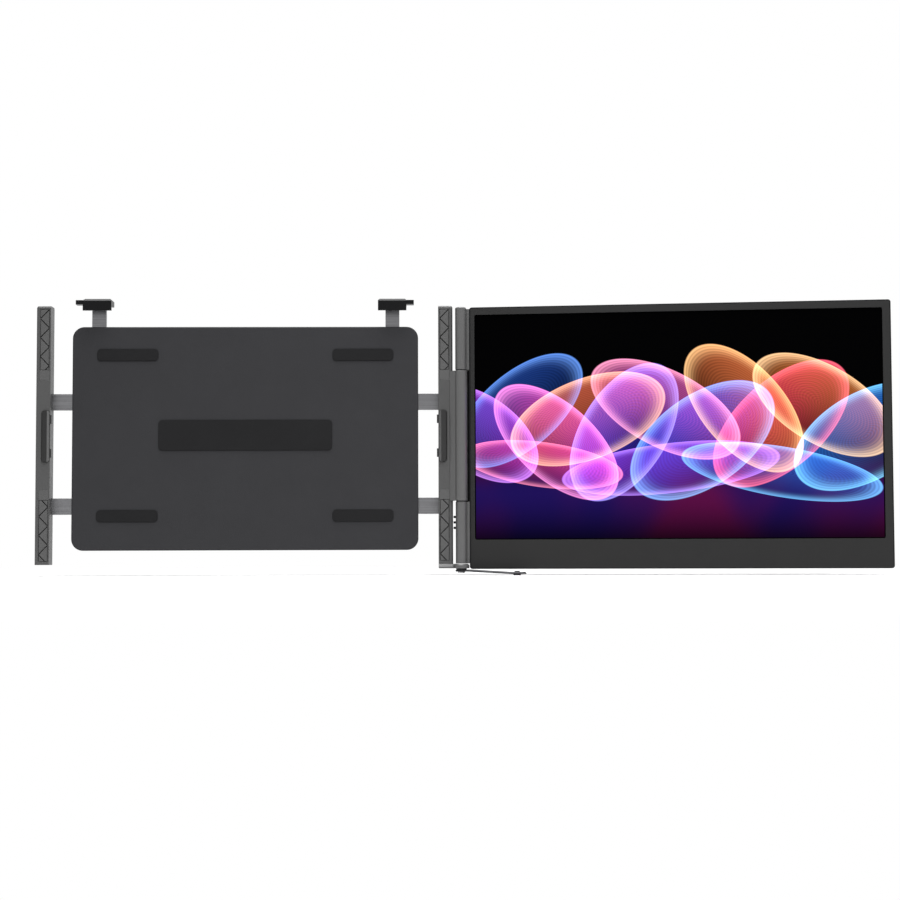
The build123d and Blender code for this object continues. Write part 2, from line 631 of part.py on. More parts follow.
def top_hook():
    """Right top clip: a sloped hook with a hanging lip and a finger tab at its outer end."""
    lip_low = HOOK_LOW - HOOK_LIP_DROP
    lip_back = CLIP_FRONT + HOOK_LIP_THICK
    points = ((CLIP_FRONT, lip_low), (CLIP_FRONT, HOOK_HIGH - HOOK_SLOPE_TALL),
              (CLIP_FRONT + HOOK_SLOPE_DEEP, HOOK_HIGH), (HOOK_BACK, HOOK_HIGH), (HOOK_BACK, HOOK_LOW),
              (lip_back, HOOK_LOW), (lip_back, lip_low))
    hook = profile_along_x(HOOK_FROM, HOOK_OUT, points)
    end_tops = hook.edges().filter_by(Axis.Y).group_by(Axis.Z)[-1]
    hook = chamfer(end_tops, HOOK_END_CHAMFER)
    tab_front = CLIP_FRONT + HOOK_TAB_SETBACK
    tab_low = HOOK_LOW + HOOK_TAB_RISE
    tab = block(HOOK_OUT, HOOK_OUT + HOOK_TAB_REACH, tab_front, tab_front + HOOK_TAB_DEEP,
                tab_low, tab_low + HOOK_TAB_TALL)
    hook += fillet(tab.edges().filter_by(Axis.Z).group_by(Axis.X)[-1], HOOK_TAB_CORNER)
    return hook - block(SLIDER_IN - SLIDER_FIT, SLIDER_OUT + SLIDER_FIT,
                        SLIDER_FRONT - SLIDER_FIT, SLIDER_FRONT + SLIDER_THICK + SLIDER_FIT,
                        HOOK_LOW - OVERRUN, HOOK_LOW + SLIDER_IN_HOOK)


def top_slider():
    """Flat bar that ends above the upper arm guide by its downward travel and a gap."""
    foot = GUIDE_TOP + SLIDER_DOWN_TRAVEL + SLIDER_FOOT_GAP
    return block(SLIDER_IN, SLIDER_OUT, SLIDER_FRONT, SLIDER_FRONT + SLIDER_THICK,
                 foot, HOOK_LOW + SLIDER_IN_HOOK)


def top_pad():
    lip_back = CLIP_FRONT + HOOK_LIP_THICK
    return block(HOOK_FROM + HOOK_PAD_INSET, HOOK_OUT - HOOK_PAD_INSET, lip_back, lip_back + HOOK_PAD_THICK,
                 HOOK_LOW - HOOK_LIP_DROP + HOOK_PAD_INSET, HOOK_LOW - HOOK_PAD_INSET)


def cradle_screw_places():
    """Screw places inside the housing's edge: corners, and the middle of the long sides."""
    across = HOUSING_HALF - BOSS_INSET
    low = HOUSING_LOW + BOSS_INSET
    high = HOUSING_TOP - BOSS_INSET
    return [(x, z) for x in (-across, 0, across) for z in (low, high)]


def cradle_screw_length():
    return HOUSING_BACK - CAVITY_FRONT - SCREW_TIP_GAP


def cradle_screw_holes():
    hole = cover_hole(cradle_screw_length())
    return [from_back(x, HOUSING_BACK, z) * hole for x, z in cradle_screw_places()]


def cradle_front_plate():
    """Flat front of the housing, with the bosses that its screws grip."""
    front = plate(-HOUSING_HALF, HOUSING_HALF, HOUSING_FRONT, CAVITY_FRONT,
                  HOUSING_LOW, HOUSING_TOP, HOUSING_CORNER)
    front = chamfer(front.faces().sort_by(Axis.Y)[0].edges(), PAD_THICK)
    for x, z in cradle_screw_places():
        front += rod_y(x, z, CAVITY_FRONT, CAVITY_BACK, BOSS_RADIUS)
    return front - cradle_screw_holes()


def cradle_rear_cover():
    """Tray behind the front plate, open at its sides for the bars and at its top for the sliders."""
    cover = plate(-HOUSING_HALF, HOUSING_HALF, CAVITY_FRONT, HOUSING_BACK,
                  HOUSING_LOW, HOUSING_TOP, HOUSING_CORNER)
    cover = fillet(cover.faces().sort_by(Axis.Y)[-1].edges(), HOUSING_EDGE)
    inside = HOUSING_HALF - HOUSING_WALL
    cover -= plate(-inside, inside, CAVITY_FRONT - OVERRUN, CAVITY_BACK, HOUSING_LOW + HOUSING_WALL,
                   HOUSING_TOP - HOUSING_WALL, HOUSING_CORNER - HOUSING_WALL)
    half_wide = HOUSING_HALF * PANEL_RECESS_WIDTH_SHARE
    half_tall = HOUSING_HEIGHT * PANEL_RECESS_HEIGHT_SHARE / 2
    cover -= plate(-half_wide, half_wide, HOUSING_BACK - PANEL_RECESS, HOUSING_BACK + OVERRUN,
                   HOUSING_MIDDLE - half_tall, HOUSING_MIDDLE + half_tall, PANEL_RECESS_CORNER)
    for height in BAR_CENTRES:
        half = BAR_TALL / 2 + BAR_SLOT_CLEAR
        cover -= block(-HOUSING_HALF - OVERRUN, HOUSING_HALF + OVERRUN, BAR_FRONT - BAR_SLOT_CLEAR,
                       BAR_FRONT + BAR_THICK + BAR_SLOT_CLEAR, height - half, height + half)
    slider_slot = block(SLIDER_IN - BAR_SLOT_CLEAR, SLIDER_OUT + BAR_SLOT_CLEAR,
                        SLIDER_FRONT - SLIDER_SETBACK, SLIDER_FRONT + SLIDER_THICK + SLIDER_SETBACK,
                        HOUSING_TOP - HOUSING_WALL - OVERRUN, HOUSING_TOP + OVERRUN)
    cover -= [slider_slot, left_of(slider_slot)]
    return cover - cradle_screw_holes()


def slide_guides():
    """Strips above and below each bar, just inside the housing's side walls."""
    x1 = HOUSING_HALF - HOUSING_WALL
    x0 = x1 - HOUSING_HALF * GUIDE_LENGTH_SHARE
    strips = []
    for height in BAR_CENTRES:
        gap = BAR_TALL / 2 + BAR_CLEAR
        strips.append(block(x0, x1, CAVITY_FRONT, CAVITY_BACK, height + gap, height + gap + GUIDE_TALL))
        strips.append(block(x0, x1, CAVITY_FRONT, CAVITY_BACK, height - gap - GUIDE_TALL, height - gap))
    return strips + [left_of(strip) for strip in strips]


def arm_brakes():
    """Felt strips between the front plate and each bar, which hold the set width by rubbing."""
    x1 = HOUSING_HALF - HOUSING_WALL
    strips = [block(x1 - BRAKE_LENGTH, x1, CAVITY_FRONT, BAR_FRONT - BRAKE_GAP,
                    height - BRAKE_TALL / 2, height + BRAKE_TALL / 2) for height in BAR_CENTRES]
    return strips + [left_of(strip) for strip in strips]


def clip_guides():
    """Strips beside each top clip's slider."""
    z1 = HOUSING_TOP - HOUSING_WALL
    z0 = GUIDE_TOP + SLIDER_GUIDE_GAP
    inner = SLIDER_IN - BAR_CLEAR
    outer = SLIDER_OUT + BAR_CLEAR
    strips = [block(inner - SLIDER_GUIDE_WIDTH, inner, CAVITY_FRONT, CAVITY_BACK, z0, z1),
              block(outer, outer + SLIDER_GUIDE_WIDTH, CAVITY_FRONT, CAVITY_BACK, z0, z1)]
    return strips + [left_of(strip) for strip in strips]


def lid_rest_pad():
    half = HOUSING_HALF * REST_PAD_WIDTH_SHARE
    return plate(-half, half, 0, PAD_THICK, -REST_PAD_HEIGHT / 2, REST_PAD_HEIGHT / 2, PAD_CORNER)


def lid_pads():
    """Four strips near the front plate's corners."""
    half_wide = HOUSING_HALF * STRIP_PAD_WIDTH_SHARE
    half_tall = STRIP_PAD_HEIGHT / 2
    pads = []
    for x in (-HOUSING_HALF * STRIP_PAD_OUT_SHARE, HOUSING_HALF * STRIP_PAD_OUT_SHARE):
        for z in (-HOUSING_HEIGHT * STRIP_PAD_UP_SHARE, HOUSING_HEIGHT * STRIP_PAD_UP_SHARE):
            pads.append(plate(x - half_wide, x + half_wide, 0, PAD_THICK,
                              z - half_tall, z + half_tall, PAD_CORNER))
    return pads


def knuckle_screw_places():
    """Places of the screws through the knuckle's flange into the rail's side."""
    y = RAIL_FRONT + KNUCKLE_FLANGE_DEEP / 2
    heights = (KNUCKLE_LOW + KNUCKLE_SCREW_INSET, KNUCKLE_HIGH - KNUCKLE_SCREW_INSET)
    return [Pos(RAIL_OUTER + KNUCKLE_FLANGE_THICK, y, z) * Rot(0, 90, 0) for z in heights]


def knuckle_screw_length():
    return KNUCKLE_FLANGE_THICK + RAIL_SIDE_WALL


def hinge_knuckle():
    """Fixed middle of the hinge: a stout barrel, a ramp up to it and a flange on the rail's side."""
    crease_x = AXIS_X - KNUCKLE_CREASE_OUT
    crease_y = AXIS_Y - math.sqrt(KNUCKLE_RADIUS ** 2 - KNUCKLE_CREASE_OUT ** 2)
    flange_out = RAIL_OUTER + KNUCKLE_FLANGE_THICK
    lap_in = RAIL_OUTER - KNUCKLE_LAP
    ramp = ((lap_in, RAIL_FRONT), (lap_in, RAIL_FRONT - KNUCKLE_LAP_EDGE),
            (crease_x, crease_y), (AXIS_X, AXIS_Y),
            (flange_out, RAIL_FRONT + KNUCKLE_FLANGE_THICK), (RAIL_OUTER, RAIL_FRONT + KNUCKLE_FLANGE_THICK),
            (RAIL_OUTER, RAIL_FRONT))
    knuckle = profile_along_z(KNUCKLE_LOW, KNUCKLE_HIGH, ramp)
    knuckle += rod_z(AXIS_X, AXIS_Y, KNUCKLE_LOW, KNUCKLE_HIGH, KNUCKLE_RADIUS)
    knuckle += block(RAIL_OUTER, flange_out, RAIL_FRONT, RAIL_FRONT + KNUCKLE_FLANGE_DEEP,
                     KNUCKLE_LOW, KNUCKLE_HIGH)
    knuckle -= rod_z(AXIS_X, AXIS_Y, KNUCKLE_LOW - OVERRUN, KNUCKLE_HIGH + OVERRUN, PIN_RADIUS + PIN_PRESS)
    return knuckle - [place * cover_hole(knuckle_screw_length()) for place in knuckle_screw_places()]


def hinge_pin():
    inset = BARREL_END_WALL + PIN_END_GAP
    return rod_z(AXIS_X, AXIS_Y, LOWER_BARREL[0] + inset, UPPER_BARREL[1] - inset, PIN_RADIUS)


def foot_cap():
    """Cap under the right rail and hinge, with a sloped upper front and a round hub at the axis."""
    front = RAIL_FRONT - CAP_FRONT_STAND
    slope_foot = RAIL_BOTTOM - CAP_SLOPE_TALL
    rail_foot = ((front, CAP_LOW), (front, slope_foot), (RAIL_FRONT, RAIL_BOTTOM),
                 (HOUSING_BACK, RAIL_BOTTOM), (HOUSING_BACK, CAP_LOW))
    bridge_back = AXIS_Y + CAP_BRIDGE_BACK
    bridge = ((front, CAP_LOW), (front, slope_foot), (RAIL_FRONT, RAIL_BOTTOM),
              (bridge_back, RAIL_BOTTOM), (bridge_back, CAP_LOW))
    cap = profile_along_x(RAIL_INNER, RAIL_OUTER, rail_foot)
    cap += profile_along_x(RAIL_OUTER, AXIS_X, bridge)
    hub = rod_z(AXIS_X, AXIS_Y, CAP_LOW, RAIL_BOTTOM, CAP_HUB_RADIUS)
    cap += chamfer(hub.edges().group_by(Axis.Z)[-1], CAP_HUB_CHAMFER)
    cap -= rod_z(AXIS_X, AXIS_Y, CAP_LOW - OVERRUN, CAP_LOW + RIVET_DEPTH, RIVET_RADIUS + PIN_PRESS)
    return cap - [place * cover_hole(CAP_SCREW_LENGTH) for place in cap_screw_places()]


def cap_screw_places():
    """Places of the screws driven up through the foot cap into the rail's solid end."""
    y = RAIL_FRONT + CAP_SCREW_SETBACK
    shifts = (-CAP_SCREW_SPREAD / 2, CAP_SCREW_SPREAD / 2)
    return [Pos(RAIL_MIDDLE + shift, y, CAP_LOW) * Rot(180, 0, 0) for shift in shifts]


def right_rail():
    """Right rail with the extra holes for the hinge knuckle and the foot cap."""
    holes = [place * cover_hole(knuckle_screw_length()) for place in knuckle_screw_places()]
    holes += [place * cover_hole(CAP_SCREW_LENGTH) for place in cap_screw_places()]
    return rail_shell() - holes


def leg_rivet():
    head_top = LEG_TOP - LEG_THICK
    rivet = rod_z(AXIS_X, AXIS_Y, head_top, CAP_LOW + RIVET_DEPTH, RIVET_RADIUS)
    return rivet + rod_z(AXIS_X, AXIS_Y, head_top - RIVET_HEAD_THICK, head_top, RIVET_HEAD_RADIUS)


def leg_washer():
    washer = rod_z(AXIS_X, AXIS_Y, LEG_TOP, CAP_LOW, WASHER_RADIUS)
    return washer - rod_z(AXIS_X, AXIS_Y, LEG_TOP - OVERRUN, CAP_LOW + OVERRUN, RIVET_RADIUS + PIN_RUN)


def leg_place(shape):
    """Turn a leg piece, drawn along +X from the origin, to its rest direction under the hinge."""
    return Pos(AXIS_X, AXIS_Y, LEG_TOP) * Rot(0, 0, -LEG_SWING) * shape


def leg_strip():
    """Bent strip: flat at the hub, falling to a flat tip, with rounded ends and a bevelled upper rim."""
    hub = LEG_HUB_WIDTH / 2
    half_tip = LEG_TIP_WIDTH / 2
    tip = LEG_REACH + LEG_TIP
    tip_centre = tip - half_tip
    slope_end = tip - LEG_FLAT_AT_TIP
    top = ((-hub, 0), (LEG_FLAT_FROM_HUB, 0), (slope_end, -LEG_FALL), (tip, -LEG_FALL))
    under = [(x, z - LEG_THICK) for x, z in reversed(top)]
    side = extrude(Plane.XZ * Polygon(*top, *under, align=None), amount=hub, both=True)
    taper = Polygon((0, -hub), (tip_centre, -half_tip), (tip_centre, half_tip), (0, hub), align=None)
    outline = taper + Circle(hub) + Pos(tip_centre, 0) * Circle(half_tip)
    depth = LEG_FALL + LEG_THICK + OVERRUN
    strip = side & extrude(outline, amount=depth, both=True)
    tops = strip.faces().sort_by(lambda face: face.normal_at().Z)[-3:]
    strip = chamfer(tops.edges().filter_by(Axis.Y, reverse=True), LEG_BEVEL)
    strip -= rod_z(0, 0, -LEG_THICK - OVERRUN, OVERRUN, RIVET_RADIUS + RIVET_RUN)
    return leg_place(strip - rod_z(LEG_REACH, 0, -depth, OVERRUN, FOOT_STEM_RADIUS + PIN_PRESS))


def leg_foot():
    """Rubber foot that is pulled through the strip's hole: a pad below, a small button above."""
    top = -LEG_FALL
    under = top - LEG_THICK
    foot = rod_z(LEG_REACH, 0, under, top, FOOT_STEM_RADIUS)
    foot += rod_z(LEG_REACH, 0, under - FOOT_THICK, under, FOOT_RADIUS)
    foot += rod_z(LEG_REACH, 0, top, top + FOOT_BUTTON_THICK, FOOT_BUTTON_RADIUS)
    return leg_place(foot)


def turned(shape):
    """Turn a monitor piece from in line with the cradle to its rest angle about the hinge."""
    return Pos(AXIS_X, AXIS_Y, 0) * Rot(0, 0, -MONITOR_TURN) * Pos(-AXIS_X, -AXIS_Y, 0) * shape


def barrel_with_leaf(span, bush_end, open_end):
    """Monitor's half of the hinge: a barrel, a flange at the monitor's side and a leaf inside it."""
    low, high = span
    barrel = rod_z(AXIS_X, AXIS_Y, low, high, BARREL_RADIUS)
    flange_high = high
    if open_end == low:
        barrel = fillet(barrel.edges().group_by(Axis.Z)[-1], BARREL_END_ROUND)
        flange_high = high - BARREL_END_ROUND
    leaf_low = low + LEAF_END_INSET
    leaf_high = high - LEAF_END_INSET
    flange_front = MONITOR_FRONT + FLANGE_SETBACK
    barrel += block(AXIS_X, MONITOR_LEFT, flange_front, LEAF_BACK, low, flange_high)
    barrel += block(MONITOR_LEFT, MONITOR_LEFT + LEAF_REACH, LEAF_FRONT, LEAF_BACK, leaf_low, leaf_high)
    if open_end == high:
        bore = (low + BARREL_END_WALL, high + OVERRUN)
    else:
        bore = (low - OVERRUN, high - BARREL_END_WALL)
    barrel -= rod_z(AXIS_X, AXIS_Y, *bore, PIN_RADIUS + PIN_RUN)
    barrel -= rod_z(AXIS_X, AXIS_Y, *bush_end, BUSH_RADIUS + PIN_PRESS)
    return barrel - [place * shell_hole(leaf_screw_length()) for place in leaf_screw_places(span)]


def leaf_screw_length():
    return SHELL_BACK + LEAF_GAP + LEAF_THICK


def leaf_screw_places(span):
    low, high = span
    x = MONITOR_LEFT + LEAF_SCREW_REACH
    inset = LEAF_END_INSET + LEAF_SCREW_INSET
    return [from_back(x, MONITOR_BACK, z) for z in (low + inset, high - inset)]


def upper_barrel():
    low, high = UPPER_BARREL
    return barrel_with_leaf(UPPER_BARREL, (low - OVERRUN, low + BUSH_LENGTH), low)


def button_heights():
    room = KNUCKLE_LOW - RAIL_BOTTOM
    shares = [BUTTON_LOW_SHARE + index * BUTTON_PITCH_SHARE for index in range(len(BUTTON_NAMES))]
    return [RAIL_BOTTOM + share * room for share in shares]


def lower_barrel():
    low, high = LOWER_BARREL
    barrel = barrel_with_leaf(LOWER_BARREL, (high - BUSH_LENGTH, high + OVERRUN), high)
    for z in button_heights():
        barrel -= rod_x(AXIS_Y, z, AXIS_X - BARREL_RADIUS - OVERRUN, AXIS_X - BUTTON_FLOOR,
                        BUTTON_RADIUS + BUTTON_CLEAR)
    return barrel


def button(z):
    """Round control button that stands out of the barrel's side."""
    pin = rod_x(AXIS_Y, z, AXIS_X - BARREL_RADIUS - BUTTON_PROUD, AXIS_X - BUTTON_INNER, BUTTON_RADIUS)
    return fillet(pin.edges().group_by(Axis.X)[0], BUTTON_ROUND)


def hinge_bushes():
    """Flanged bushes: a sleeve in the knuckle's end of each barrel, and a flange beside the knuckle."""
    lower_end = LOWER_BARREL[1]
    upper_end = UPPER_BARREL[0]
    bore = rod_z(AXIS_X, AXIS_Y, LOWER_BARREL[0], UPPER_BARREL[1], PIN_RADIUS + PIN_RUN)
    lower = rod_z(AXIS_X, AXIS_Y, lower_end - BUSH_LENGTH, lower_end, BUSH_RADIUS)
    lower += rod_z(AXIS_X, AXIS_Y, lower_end, KNUCKLE_LOW - BUSH_FLANGE_GAP, BUSH_FLANGE_RADIUS)
    upper = rod_z(AXIS_X, AXIS_Y, upper_end, upper_end + BUSH_LENGTH, BUSH_RADIUS)
    upper += rod_z(AXIS_X, AXIS_Y, KNUCKLE_HIGH + BUSH_FLANGE_GAP, upper_end, BUSH_FLANGE_RADIUS)
    return [lower - bore, upper - bore]


def shell_screw_places():
    """Shell screws along the top edge and the chin, as (x, z)."""
    high = MONITOR_HIGH - SHELL_SCREW_TOP_INSET
    low = MONITOR_LOW + SHELL_SCREW_LOW_INSET
    places = [(MONITOR_LEFT + share * MONITOR_WIDTH, high) for share in SHELL_TOP_SHARES]
    return places + [(MONITOR_LEFT + share * MONITOR_WIDTH, low) for share in SHELL_LOW_SHARES]


def shell_screw_length():
    return MONITOR_BACK - DISPLAY_FRONT - SCREW_TIP_GAP


def shell_holes():
    hole = shell_hole(shell_screw_length())
    return [from_back(x, MONITOR_BACK, z) * hole for x, z in shell_screw_places()]


def front_bezel():
    """Frame round the display, with the screw bosses behind it."""
    inset = SHELL_RIM + BEZEL_FIT
    bezel = plate(MONITOR_LEFT + inset, MONITOR_RIGHT - inset, MONITOR_FRONT, DISPLAY_FRONT,
                  MONITOR_LOW + inset, MONITOR_HIGH - inset, MONITOR_CORNER - SHELL_RIM)
    bezel -= plate(SCREEN_LEFT, SCREEN_RIGHT, MONITOR_FRONT - OVERRUN, DISPLAY_FRONT + OVERRUN,
                   SCREEN_LOW, SCREEN_HIGH, SCREEN_CORNER)
    for x, z in shell_screw_places():
        bezel += rod_y(x, z, DISPLAY_FRONT, SHELL_INSIDE - SHELL_BOSS_GAP, SHELL_BOSS_RADIUS)
    return bezel - shell_holes()


def port_heights():
    return (BOARD_MIDDLE - PORT_PITCH / 2, BOARD_MIDDLE + PORT_PITCH / 2)


def port_block(x0, x1, z, margin, round_by):
    """Rounded bar along X round a port's centre line, larger than the port by a margin."""
    middle = BOARD_FRONT - PORT_SHORT / 2
    short = PORT_SHORT / 2 + margin
    long = PORT_LONG / 2 + margin
    bar = block(x0, x1, middle - short, middle + short, z - long, z + long)
    return fillet(bar.edges().filter_by(Axis.X), round_by)


def rear_cover():
    """Monitor's shell: a tray whose rim takes the bezel, a lip behind the knuckle and slots in its walls."""
    shell = plate(MONITOR_LEFT, MONITOR_RIGHT, MONITOR_FRONT, MONITOR_BACK,
                  MONITOR_LOW, MONITOR_HIGH, MONITOR_CORNER)
    shell = chamfer(shell.faces().sort_by(Axis.Y)[-1].edges(), SHELL_BACK_CHAMFER)
    shell -= plate(MONITOR_LEFT + SHELL_RIM, MONITOR_RIGHT - SHELL_RIM,
                   MONITOR_FRONT - OVERRUN, DISPLAY_FRONT,
                   MONITOR_LOW + SHELL_RIM, MONITOR_HIGH - SHELL_RIM, MONITOR_CORNER - SHELL_RIM)
    shell -= block(MONITOR_LEFT + SHELL_WALL, MONITOR_RIGHT - SHELL_WALL, MONITOR_FRONT, SHELL_INSIDE,
                   MONITOR_LOW + SHELL_WALL, MONITOR_HIGH - SHELL_WALL)
    for low, high in (LOWER_BARREL, UPPER_BARREL):
        shell -= block(MONITOR_LEFT - OVERRUN, MONITOR_LEFT + SHELL_WALL + OVERRUN,
                       LEAF_FRONT - LEAF_GAP, LEAF_BACK + LEAF_GAP,
                       low + LEAF_END_INSET - LEAF_GAP, high - LEAF_END_INSET + LEAF_GAP)
    lip_front = AXIS_Y + KNUCKLE_RADIUS + SHELL_LIP_GAP
    shell += block(MONITOR_LEFT - SHELL_LIP_REACH, MONITOR_LEFT + SHELL_WALL,
                   lip_front, lip_front + SHELL_LIP_THICK,
                   LOWER_BARREL[1] + SHELL_LIP_END, UPPER_BARREL[0] - SHELL_LIP_END)
    for z in port_heights():
        shell -= port_block(MONITOR_RIGHT - SHELL_WALL - OVERRUN, MONITOR_RIGHT + OVERRUN, z,
                            PORT_FIT, PORT_ROUND)
    for x in (BOARD_LEFT + BOARD_POST_INSET, BOARD_RIGHT - BOARD_POST_INSET * 2):
        shell += rod_y(x, BOARD_MIDDLE, BOARD_BACK, SHELL_INSIDE, BOARD_POST_RADIUS)
    shell -= speaker_slots()
    screws = [place * shell_hole(leaf_screw_length()) for span in (LOWER_BARREL, UPPER_BARREL)
              for place in leaf_screw_places(span)]
    return shell - shell_holes() - screws


def speaker_slots():
    """Rows of upright slots through the shell's back, behind each speaker."""
    middle = MONITOR_LOW + SPEAKER_FOOT_INSET + SPEAKER_TALL / 2
    step = SPEAKER_LENGTH / (GRILLE_SLOTS + 1)
    front = SHELL_INSIDE - SPEAKER_BACK_GAP / 2
    half_wide = GRILLE_SLOT_WIDTH / 2
    half_tall = GRILLE_SLOT_TALL / 2
    slots = []
    for left in SPEAKER_LEFTS:
        for index in range(GRILLE_SLOTS):
            x = left + (index + 1) * step
            slots.append(block(x - half_wide, x + half_wide, front, MONITOR_BACK + OVERRUN,
                               middle - half_tall, middle + half_tall))
    return slots


def speakers():
    back = SHELL_INSIDE - SPEAKER_BACK_GAP
    low = MONITOR_LOW + SPEAKER_FOOT_INSET
    return [block(left, left + SPEAKER_LENGTH, back - SPEAKER_THICK, back, low, low + SPEAKER_TALL)
            for left in SPEAKER_LEFTS]


def display_block(front, thick):
    return block(SCREEN_LEFT - DISPLAY_BORDER, SCREEN_RIGHT + DISPLAY_BORDER, front, front + thick,
                 SCREEN_LOW - DISPLAY_BORDER, SCREEN_HIGH + DISPLAY_BORDER)


def main_board():
    return block(BOARD_LEFT, BOARD_RIGHT, BOARD_FRONT, BOARD_BACK, BOARD_LOW, BOARD_LOW + BOARD_TALL)


def board_chips():
    half_tall = BOARD_TALL * CHIP_TALL_SHARE / 2
    chips = []
    for place, length in zip(CHIP_PLACE_SHARES, CHIP_LENGTH_SHARES):
        x = BOARD_LEFT + place * BOARD_LENGTH
        half = length * BOARD_LENGTH / 2
        chips.append(block(x - half, x + half, BOARD_FRONT - CHIP_THICK, BOARD_FRONT,
                           BOARD_MIDDLE - half_tall, BOARD_MIDDLE + half_tall))
    return chips


def usb_c_ports():
    """Two hollow sockets on the board's front, each with a contact tongue."""
    mouth = MONITOR_RIGHT - PORT_SETBACK
    ports = []
    for z in port_heights():
        shell = port_block(mouth - PORT_DEEP, mouth, z, 0, PORT_ROUND)
        shell -= port_block(mouth - PORT_DEEP + PORT_BACK, mouth + OVERRUN, z,
                            -PORT_WALL, PORT_ROUND - PORT_WALL)
        middle = BOARD_FRONT - PORT_SHORT / 2
        tongue_end = mouth - PORT_DEEP + PORT_BACK + PORT_DEEP * PORT_TONGUE_SHARE
        half_thick = PORT_TONGUE_SHORT / 2
        half_long = PORT_TONGUE_LONG / 2
        tongue = block(mouth - PORT_DEEP, tongue_end, middle - half_thick, middle + half_thick,
                       z - half_long, z + half_long)
        ports.append(shell + tongue)
    return ports


def display_ribbon():
    """Flat cable from the backlight's lower edge to the board."""
    x = BOARD_LEFT + RIBBON_PLACE_SHARE * BOARD_LENGTH
    board_top = BOARD_LOW + BOARD_TALL
    return block(x - RIBBON_WIDTH / 2, x + RIBBON_WIDTH / 2, BOARD_FRONT - RIBBON_THICK, BOARD_FRONT,
                 board_top - RIBBON_LAP, SCREEN_LOW - DISPLAY_BORDER)


def monitor_screws():
    screw_shape = shell_screw(shell_screw_length())
    shell = [from_back(x, MONITOR_BACK, z) * screw_shape for x, z in shell_screw_places()]
    leaf = [place * shell_screw(leaf_screw_length()) for span in (LOWER_BARREL, UPPER_BARREL)
            for place in leaf_screw_places(span)]
    return shell + leaf


def cradle_nodes():
    screw_shape = cover_screw(cradle_screw_length())
    screws = [from_back(x, HOUSING_BACK, z) * screw_shape for x, z in cradle_screw_places()]
    return {
        "cradle_front_plate": cradle_front_plate(),
        "cradle_rear_cover": cradle_rear_cover(),
        "lid_rest_pad": lid_rest_pad(),
        "lid_pads": group(lid_pads()),
        "slide_guides": group(slide_guides()),
        "arm_brakes": group(arm_brakes()),
        "clip_guides": group(clip_guides()),
        "cradle_screws": group(screws),
    }


def arm_nodes():
    """Pieces that both arms have, the left ones as mirror images of the right ones."""
    both = {
        "rail_back": rail_back(),
        "slide_bars": group(slide_bars()),
        "rail_screws": group(rail_screws()),
        "side_clip": side_clip(),
        "clip_pads": group(clip_pads()),
        "clip_spring": clip_spring(),
        "top_clip": top_hook(),
        "top_slider": top_slider(),
        "top_pad": top_pad(),
    }
    nodes = {
        "right_rail": right_rail(),
        "left_rail": left_of(rail_shell()),
        "right_upper_truss": truss_inlay(True, True),
        "right_lower_truss": truss_inlay(False, False),
        "left_upper_truss": left_of(truss_inlay(True, False)),
        "left_lower_truss": left_of(truss_inlay(False, True)),
    }
    for name, shape in both.items():
        nodes["right_" + name] = shape
        nodes["left_" + name] = left_of(shape)
    return nodes


def hinge_nodes():
    knuckle_screws = [place * cover_screw(knuckle_screw_length()) for place in knuckle_screw_places()]
    cap_screws = [place * cover_screw(CAP_SCREW_LENGTH) for place in cap_screw_places()]
    return {
        "hinge_knuckle": hinge_knuckle(),
        "hinge_pin": hinge_pin(),
        "knuckle_screws": group(knuckle_screws),
        "foot_cap": foot_cap(),
        "foot_cap_screws": group(cap_screws),
        "leg_rivet": leg_rivet(),
        "leg_washer": leg_washer(),
        "leg_strip": leg_strip(),
        "leg_foot": leg_foot(),
    }


def monitor_nodes():
    flat = {
        "front_bezel": front_bezel(),
        "rear_cover": rear_cover(),
        "display_panel": display_block(DISPLAY_FRONT, DISPLAY_THICK),
        "backlight": display_block(BACKLIGHT_FRONT, BACKLIGHT_THICK),
        "upper_barrel": upper_barrel(),
        "lower_barrel": lower_barrel(),
        "hinge_bushes": group(hinge_bushes()),
        "main_board": main_board(),
        "board_chips": group(board_chips()),
        "usb_c_ports": group(usb_c_ports()),
        "display_ribbon": display_ribbon(),
        "speakers": group(speakers()),
        "monitor_screws": group(monitor_screws()),
    }
    for name, z in zip(BUTTON_NAMES, button_heights()):
        flat[name] = button(z)
    return {name: turned(shape) for name, shape in flat.items()}


def main():
    os.makedirs("parts", exist_ok=True)
    nodes = {**cradle_nodes(), **arm_nodes(), **hinge_nodes(), **monitor_nodes()}
    for name, shape in nodes.items():
        export_step(shape, f"parts/{name}.step")
    print(len(nodes), "nodes written")


main()
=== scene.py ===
# %% [markdown]
# # A portable monitor on a clip-on cradle
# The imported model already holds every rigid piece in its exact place, in metres: the cradle with its
# sliding arms, the side and top clips, the hinge, the leg and the monitor. It is loaded as a fixed
# frame, and this lesson dresses it. Metal, plastic, rubber and glass get materials made of nodes. The
# lit front of the display and the springs of the side clips are surfaces worked out with numpy.

# %% Load the frame
import json
import math

import bmesh
import bpy
import numpy as np
from mathutils import Matrix, Vector


